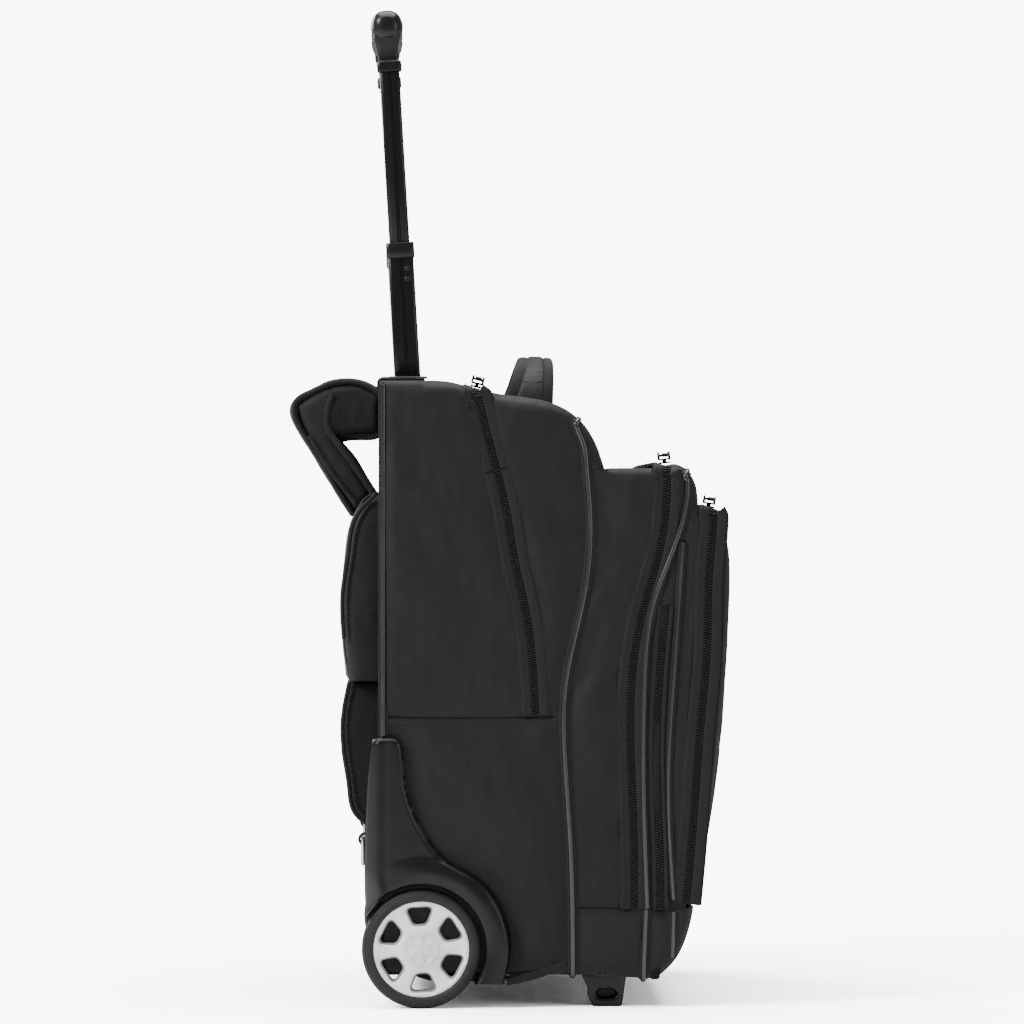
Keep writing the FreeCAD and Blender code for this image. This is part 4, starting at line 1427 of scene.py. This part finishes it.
def back_pads():
    """Quilted back pad and mesh lumbar pad, with bound edges."""
    pad_side = [(-100, 390), (-104, 390), (-118, 375), (-125, 344), (-129, 316), (-128, 280), (-124, 247.4)]
    low_side = [(-124, 246.2), (-129, 217), (-128, 192), (-124, 166), (-120, 147), (-108, 136)]
    top = panel("back_pad_cloth", [[(-100, 247.4), (-100, 390)], pad_side, [(-124, 247.4), (-100, 247.4)]],
                ["cut", (9.0, 2.4), (2.5, 0.3)], [SHELL, SHELL, SHELL], 0, 137.0, 1.6, 1.2, None,
                back_channels, False, 3.4)
    low = panel("lumbar_pad_cloth", [[(-100, 136), (-100, 246.2)], [(-100, 246.2), (-124, 246.2)], low_side,
                                     [(-108, 136), (-100, 136)]],
                ["cut", (2.5, 0.3), (7.0, 1.6), (3.0, 0.2)], [MESH, MESH, MESH], 0, 124.0, 1.4, 0.9, None,
                lumbar_channels, False, 3.4)
    for ob, node, slot in ((top, "back_pad", "shell_fabric"), (low, "lumbar_pad", "mesh")):
        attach(ob, "case")
        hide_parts(node)
    z = Builder(PIPING, SMOOTH, THREAD)
    for y_half, line in ((137.5, pad_side[1:-1]), (124.5, low_side)):
        for p in both_sides(Path(line, lift=0.3, y_half=y_half)):
            z.add(*sweep(p, [(1.7 * math.cos(a), 0.4 + 1.7 * math.sin(a))
                             for a in np.linspace(0, 2 * math.pi, 11)[:-1]]), SMOOTH)
            z.stitches(p, 3.6 if p.p[0, 1] > 0 else -3.6, 0.6)
    ob = z.build("back_pad_binding", "case")


shoulder_strap()
back_pads()


# ------------------------------------------------------------------ rings, tabs and feet
def d_rings():
    """D-rings with their bars and tab loops."""
    pts = [(-13.0, 6.5)] + [(12.5 * math.cos(a), 12.5 * math.sin(a))
                            for a in np.linspace(math.pi, 2 * math.pi, 25)] + [(13.0, 6.5)]
    line = [(-113.5, -110 + u, 118.5 + v) for u, v in pts]
    bar = [(-113.5, -110 + u, 125.0) for u in (13.0, 0.0, -13.0)]
    loop = np.array(line + bar[1:-1])
    n, k = len(loop), 14
    t = np.roll(loop, -1, axis=0) - np.roll(loop, 1, axis=0)
    t /= np.linalg.norm(t, axis=1)[:, None]
    side = np.cross(t, (1.0, 0, 0))
    verts = []
    for p, s in zip(loop, side):
        verts += [tuple(p + 1.45 * (math.cos(a) * np.array([1.0, 0, 0]) + math.sin(a) * s))
                  for a in np.linspace(0, 2 * math.pi, k + 1)[:-1]]
    faces = [(i * k + j, i * k + (j + 1) % k, ((i + 1) % n) * k + (j + 1) % k, ((i + 1) % n) * k + j)
             for i in range(n) for j in range(k)]
    z = Builder(BRIGHT)
    z.add(verts, faces, BRIGHT)
    left = z.build("ring_left_wire", "ring_left", "d_ring_left", slot="ring_metal")
    other_side(left, "ring_right_wire", "ring_right", "d_ring_right", slot="ring_metal")
    z = Builder(WEBBING, THREAD)
    for y in (-110, 110):
        path = [(-100.2, 129.6), (-108, 129.6), (-113.5, 128.9), (-116.4, 125), (-113.5, 121.1),
                (-108, 120.4), (-100.2, 120.4)]
        line = spline(path, 0.9)
        flow = np.gradient(line, axis=0)
        flow /= np.hypot(*flow.T)[:, None]
        verts = []
        for (x, q), f in zip(line, flow):
            for u, v in ((-7, -0.8), (-7, 0.5), (-6.3, 0.8), (6.3, 0.8), (7, 0.5), (7, -0.8)):
                verts.append((x + f[1] * v, y + u, q - f[0] * v))
        z.add(verts, rings_faces(len(line), 6), WEBBING)
        for u in np.arange(-5.4, 5.5, 1.8):
            z.pill(np.array([-103.0, y + u, 130.5]), np.array([0, 1.0, 0]), np.array([1.0, 0, 0]),
                   np.array([0, 0, 1.0]), (1.3, 0.7, 0.6), THREAD)
        patch = rounded_box(11, 8, 2.5, 4)
        verts = []
        for lift, k in ((-100.0, 1.0), (-101.3, 1.0), (-101.8, 0.9), (-101.9, 0.1)):
            verts += [(lift, y + u * k, 125 + v * k * 1.3) for u, v in patch]
        z.add(verts, rings_faces(4, len(patch)), WEBBING)
    z.build("ring_tab_loops", "case", "ring_tabs", slot="webbing")


def foot():
    """Moulded front foot with an oval recess."""
    outline_pts = [(52.5, 26), (58.5, 13), (59, 6.5), (61.2, 1.2), (62.6, 0.0), (82.6, 0.0), (84.2, 1.2),
                   (87.6, 26)]
    loop = np.array(spline_corners(outline_pts, 1.6))[::-1]
    area = np.sum(loop[:, 0] * np.roll(loop[:, 1], -1) - np.roll(loop[:, 0], -1) * loop[:, 1])
    loop = loop if area > 0 else loop[::-1]
    hole = [(72.5 + 8.2 * math.copysign(abs(math.cos(a)) ** 0.7, math.cos(a)), 9.6 + 4.0 * math.sin(a))
            for a in np.linspace(0, 2 * math.pi, 41)[:-1]]
    z = Builder(BLACK, WELL)

    def face_y(x, q):
        d = distance([(x, q)], np.vstack([loop, loop[:1]]))[0]
        e = distance([(x, q)], np.array(hole + hole[:1]))[0]
        return -153.0 + 1.2 * (1 - smoothstep(d, 0, 2.0)) + 0.8 * (1 - smoothstep(e, 0, 1.4))

    relief(z, loop, [hole], face_y, BLACK, [(0.8, -149.0, BLACK), (0.5, -145.0, WELL),
                                            (None, -127.0, BLACK)], 1.5)
    z.add([(x, -145.0, q) for x, q in hole], [tuple(range(len(hole)))], WELL)
    z.add([(x, -127.0, q) for x, q in loop], [tuple(range(len(loop)))[::-1]], BLACK)
    left = z.build("foot_left_block", "case")
    other_side(left, "foot_right_block", "case", "front_feet", slot="black_plastic")


def spline_corners(pts, step):
    """Straight runs between the points, closed, cut about every step."""
    out = []
    for a, b in zip(pts, pts[1:] + pts[:1]):
        out += [tuple(p) for p in spline([a, b], step)[:-1]]
    return out


d_rings()
foot()


# ------------------------------------------------------------------ zip sliders and pullers
def zip_slider(name, x, y, z0, tilt):
    """Slider with a bridge, and its ribbed puller."""
    c, s = math.cos(math.radians(tilt)), math.sin(math.radians(tilt))
    ex, ey, ez = np.array([c, 0, -s]), np.array([0, 1.0, 0]), np.array([s, 0, c])

    def at(u, v, w):
        return np.array([x, y, z0]) + ex * u + ey * v + ez * w

    body, pull = Builder(NICKEL, BLACK), Builder(BLACK, GRIP)
    plan = [(u, v) for u, v in rounded_box(4.9, 6.8, 2.6, 6)]
    for w0, w1 in ((0.0, 1.3), (2.6, 3.9)):
        verts = []
        for w, k in ((w0, 0.9), (w0 + 0.3, 1.0), (w1 - 0.3, 1.0), (w1, 0.9)):
            verts += [tuple(at(u * k * (1 - 0.12 * (v > 3)), v * k, w)) for u, v in plan]
        body.add(verts, rings_faces(4, len(plan)), NICKEL)
    body.add([tuple(at(u, v, w)) for w in (1.2, 2.7) for u, v in rounded_box(1.4, 4.2, 1.0, 4)],
             rings_faces(2, 16), NICKEL)
    for side in (-4.1, 4.1):
        arc = [(v, 3.4 + 5.0 * math.sin(a)) for a,
               v in ((a, -2.6 * math.cos(a)) for a in np.linspace(0, math.pi, 11))]
        verts = []
        for v, w in arc:
            verts += [tuple(at(side + du, v, w + dw)) for du,
                      dw in ((-0.85, -0.5), (-0.85, 0.2), (-0.5, 0.5), (0.5, 0.5), (0.85, 0.2),
                             (0.85, -0.5))]
        body.add(verts, rings_faces(len(arc), 6), NICKEL)
    body.build(name + "_slider_body", name + "_zip_slider", name + "_slider", slot="ring_metal")
    pin = [tuple(at(u, math.cos(a) * 0.95, 6.3 + math.sin(a) * 0.95)) for u in (-4.9, -4.6, 4.6, 4.9)
           for a in np.linspace(0, 2 * math.pi, 15)[:-1]]
    pull.add(pin, rings_faces(4, 14), BLACK)
    rows = [(0.6, 1.5, 0.7), (-0.6, 2.2, 0.8), (-4, 2.2, 0.8), (-7, 1.7, 0.9), (-9, 2.5, 1.0),
            (-12, 2.8, 1.25), (-22, 2.8, 1.25), (-24.6, 2.5, 1.1),
            (-25.8, 1.6, 0.7)]
    verts = []
    for v, hw, hh in rows:
        verts += [tuple(at(u, v, 6.3 + w)) for u, w in rounded_box(hw, hh, min(hw, hh) * 0.8, 4)]
    pull.add(verts, rings_faces(len(rows), 16), BLACK)
    for v in range(-22, -11, 2):
        pull.pill(at(0, v, 7.6), ex, ey, ez, (4.4, 0.9, 0.7), GRIP)
    pull.build(name + "_puller_tab", name + "_zip_puller", name + "_puller", slot="black_plastic")


zip_slider("main", -26.6, -125, 472.6, 14)
zip_slider("front", 118.8, -115, 414.4, -6)
zip_slider("pocket", 153.0, -105, 380.6, 10)


# ------------------------------------------------------------------ inside
def interior():
    """Sleeve, its strap, divider, organiser and the front cover's lining."""
    softened("laptop_sleeve", "laptop_sleeve_pad", "case", LINING, 2.4, 0.8, 0.03)
    softened("sleeve_strap", "sleeve_strap_band", "case", WEBBING, 0.9, 0.3, 0.05)
    softened("divider_panel", "divider_pad", "case", LINING, 1.2, 0.3, 0.02)
    softened("organizer", "organizer_pocket", "case", LINING, 1.2, 0.3, 0.03)
    z = Builder(LINING, THREAD)
    ys = np.linspace(-159.5, 159.5, 61)
    zs = np.linspace(80, 405, 60)
    verts = [(x + 0.9 * fbm(q, y, 3, 0.03), y, q) for x in (117.4, 118.6) for q in zs for y in ys]
    k = len(ys)
    m = len(zs) * k
    faces = [(i * k + j, i * k + j + 1, (i + 1) * k + j + 1, (i + 1) * k + j)
             for i in range(len(zs) - 1) for j in range(k - 1)]
    z.add(verts, faces + [(m + a, m + d, m + c, m + b) for a, b, c, d in faces], LINING)
    z.build("front_cover_lining", "front_cover", slot="lining")


for node, mat in (("back_board", BOARD), ("trolley_panel", BOARD), ("base_board", BOARD),
                  ("tube_brackets", BLACK), ("outer_tubes", STEEL),
                  ("push_rods", STEEL), ("axles", STEEL), ("bearings_left", STEEL),
                  ("bearings_right", STEEL), ("bezel_screws", STEEL)):
    ob = NODES[node]
    ob.data.materials.clear()
    ob.data.materials.append(mat)
interior()


# ------------------------------------------------------------------ seams
def seam_fold(out, path, side=1, stitched=True, lift=0.0):
    """Sewn seam: a dark groove with the turned edge of one cloth beside it."""
    out.add(*sweep(path, [(b, n + lift) for b, n in ((-0.75, -1.6), (-0.75, 0.12), (0.75, 0.12),
                                                     (0.75, -1.6))]), TAPE)
    lip = [(0.7, -1.4), (0.75, 0.5), (1.2, 0.95), (2.4, 1.1), (5.2, 0.75), (6.6, -0.2), (6.6, -1.6)]
    out.add(*sweep(path, [(side * b, n + lift) for b, n in lip][::side]), SHELL)
    if stitched:
        out.stitches(path, side * 3.6, 1.0 + lift)


z = Builder(TAPE, SHELL, THREAD)
for line in ([(-97, 221), (-40, 220.3), (36, 221)], [(-5, 23.5), (18, 29), (40.5, 37)],
             [(50, 76), (91, 75)]):
    for p in both_sides(Path(line, y_half=HALF_W - 0.6)):
        seam_fold(z, p, 1 if p.p[0, 1] < 0 else -1, stitched=False)
ob = z.build("case_seams", "case")
z = Builder(TAPE, SHELL, THREAD)
for p in both_sides(Path([(143.5, 374), (143, 334), (138.5, 270), (134.5, 217), (130.5, 150), (127, 80)],
                         y_half=HALF_W - 0.2)):
    seam_fold(z, p, 1 if p.p[0, 1] < 0 else -1)
ob = z.build("pocket_rear_seam", "front_cover")


# ------------------------------------------------------------------ studio
SKY_LIGHT, SKY_SEEN = 0.32, 9.0      # the pale surround lights the case less than it shows
FLOOR_HALF = 4000.0                  # mm
CAM_X, CAM_DIST, CAM_Z = -0.09, 3.8, 0.377
SENSOR, VIEW_WIDTH = 36.0, 0.77824   # mm, and metres across the view at the case's near side
LAMPS = (("key", (-2.2, -1.3, 2.0), 0.9, 95), ("fill", (2.4, -1.6, 0.9), 1.2, 16),
         ("top", (0.0, 0.1, 2.6), 2.4, 120), ("back", (-1.6, 2.0, 1.4), 1.2, 45))


def studio():
    """Pale floor that only catches shadows, a white surround, four soft lamps and the camera."""
    corners = [(x * FLOOR_HALF, y * FLOOR_HALF, 0) for x, y in ((-1, -1), (1, -1), (1, 1), (-1, 1))]
    floor = add_mesh("studio_floor", corners, [(0, 1, 2, 3)], False)
    n = Nodes("studio_pale", Roughness=0.9)
    n.bsdf.inputs["Base Color"].default_value = (0.93, 0.93, 0.93, 1)
    floor.data.materials.append(n.mat)
    floor.is_shadow_catcher = True
    world = bpy.data.worlds.new("studio_world")
    bpy.context.scene.world = world
    world.use_nodes = True
    sky = world.node_tree.nodes["Background"]
    sky.inputs["Color"].default_value = (1, 1, 1, 1)
    seen = world.node_tree.nodes.new("ShaderNodeLightPath")
    level = world.node_tree.nodes.new("ShaderNodeMapRange")
    level.inputs["To Min"].default_value = SKY_LIGHT
    level.inputs["To Max"].default_value = SKY_SEEN
    world.node_tree.links.new(seen.outputs["Is Camera Ray"], level.inputs["Value"])
    world.node_tree.links.new(level.outputs["Result"], sky.inputs["Strength"])
    for name, place, size, power in LAMPS:
        data = bpy.data.lights.new(name, "AREA")
        data.size = size
        data.energy = power
        lamp = bpy.data.objects.new(name, data)
        lamp.location = place
        aim = Vector((0, 0, 0.3)) - Vector(place)
        lamp.rotation_euler = aim.to_track_quat("-Z", "Y").to_euler()
        bpy.context.scene.collection.objects.link(lamp)
    cam = bpy.data.cameras.new("camera")
    cam.sensor_width = SENSOR
    cam.lens = SENSOR * CAM_DIST / VIEW_WIDTH
    cam_ob = bpy.data.objects.new("camera", cam)
    cam_ob.location = (CAM_X, -HALF_W * MM - CAM_DIST, CAM_Z)
    cam_ob.rotation_euler = (math.radians(90), 0, math.atan2(CAM_X, CAM_DIST))
    bpy.context.scene.collection.objects.link(cam_ob)
    bpy.context.scene.camera = cam_ob


studio()
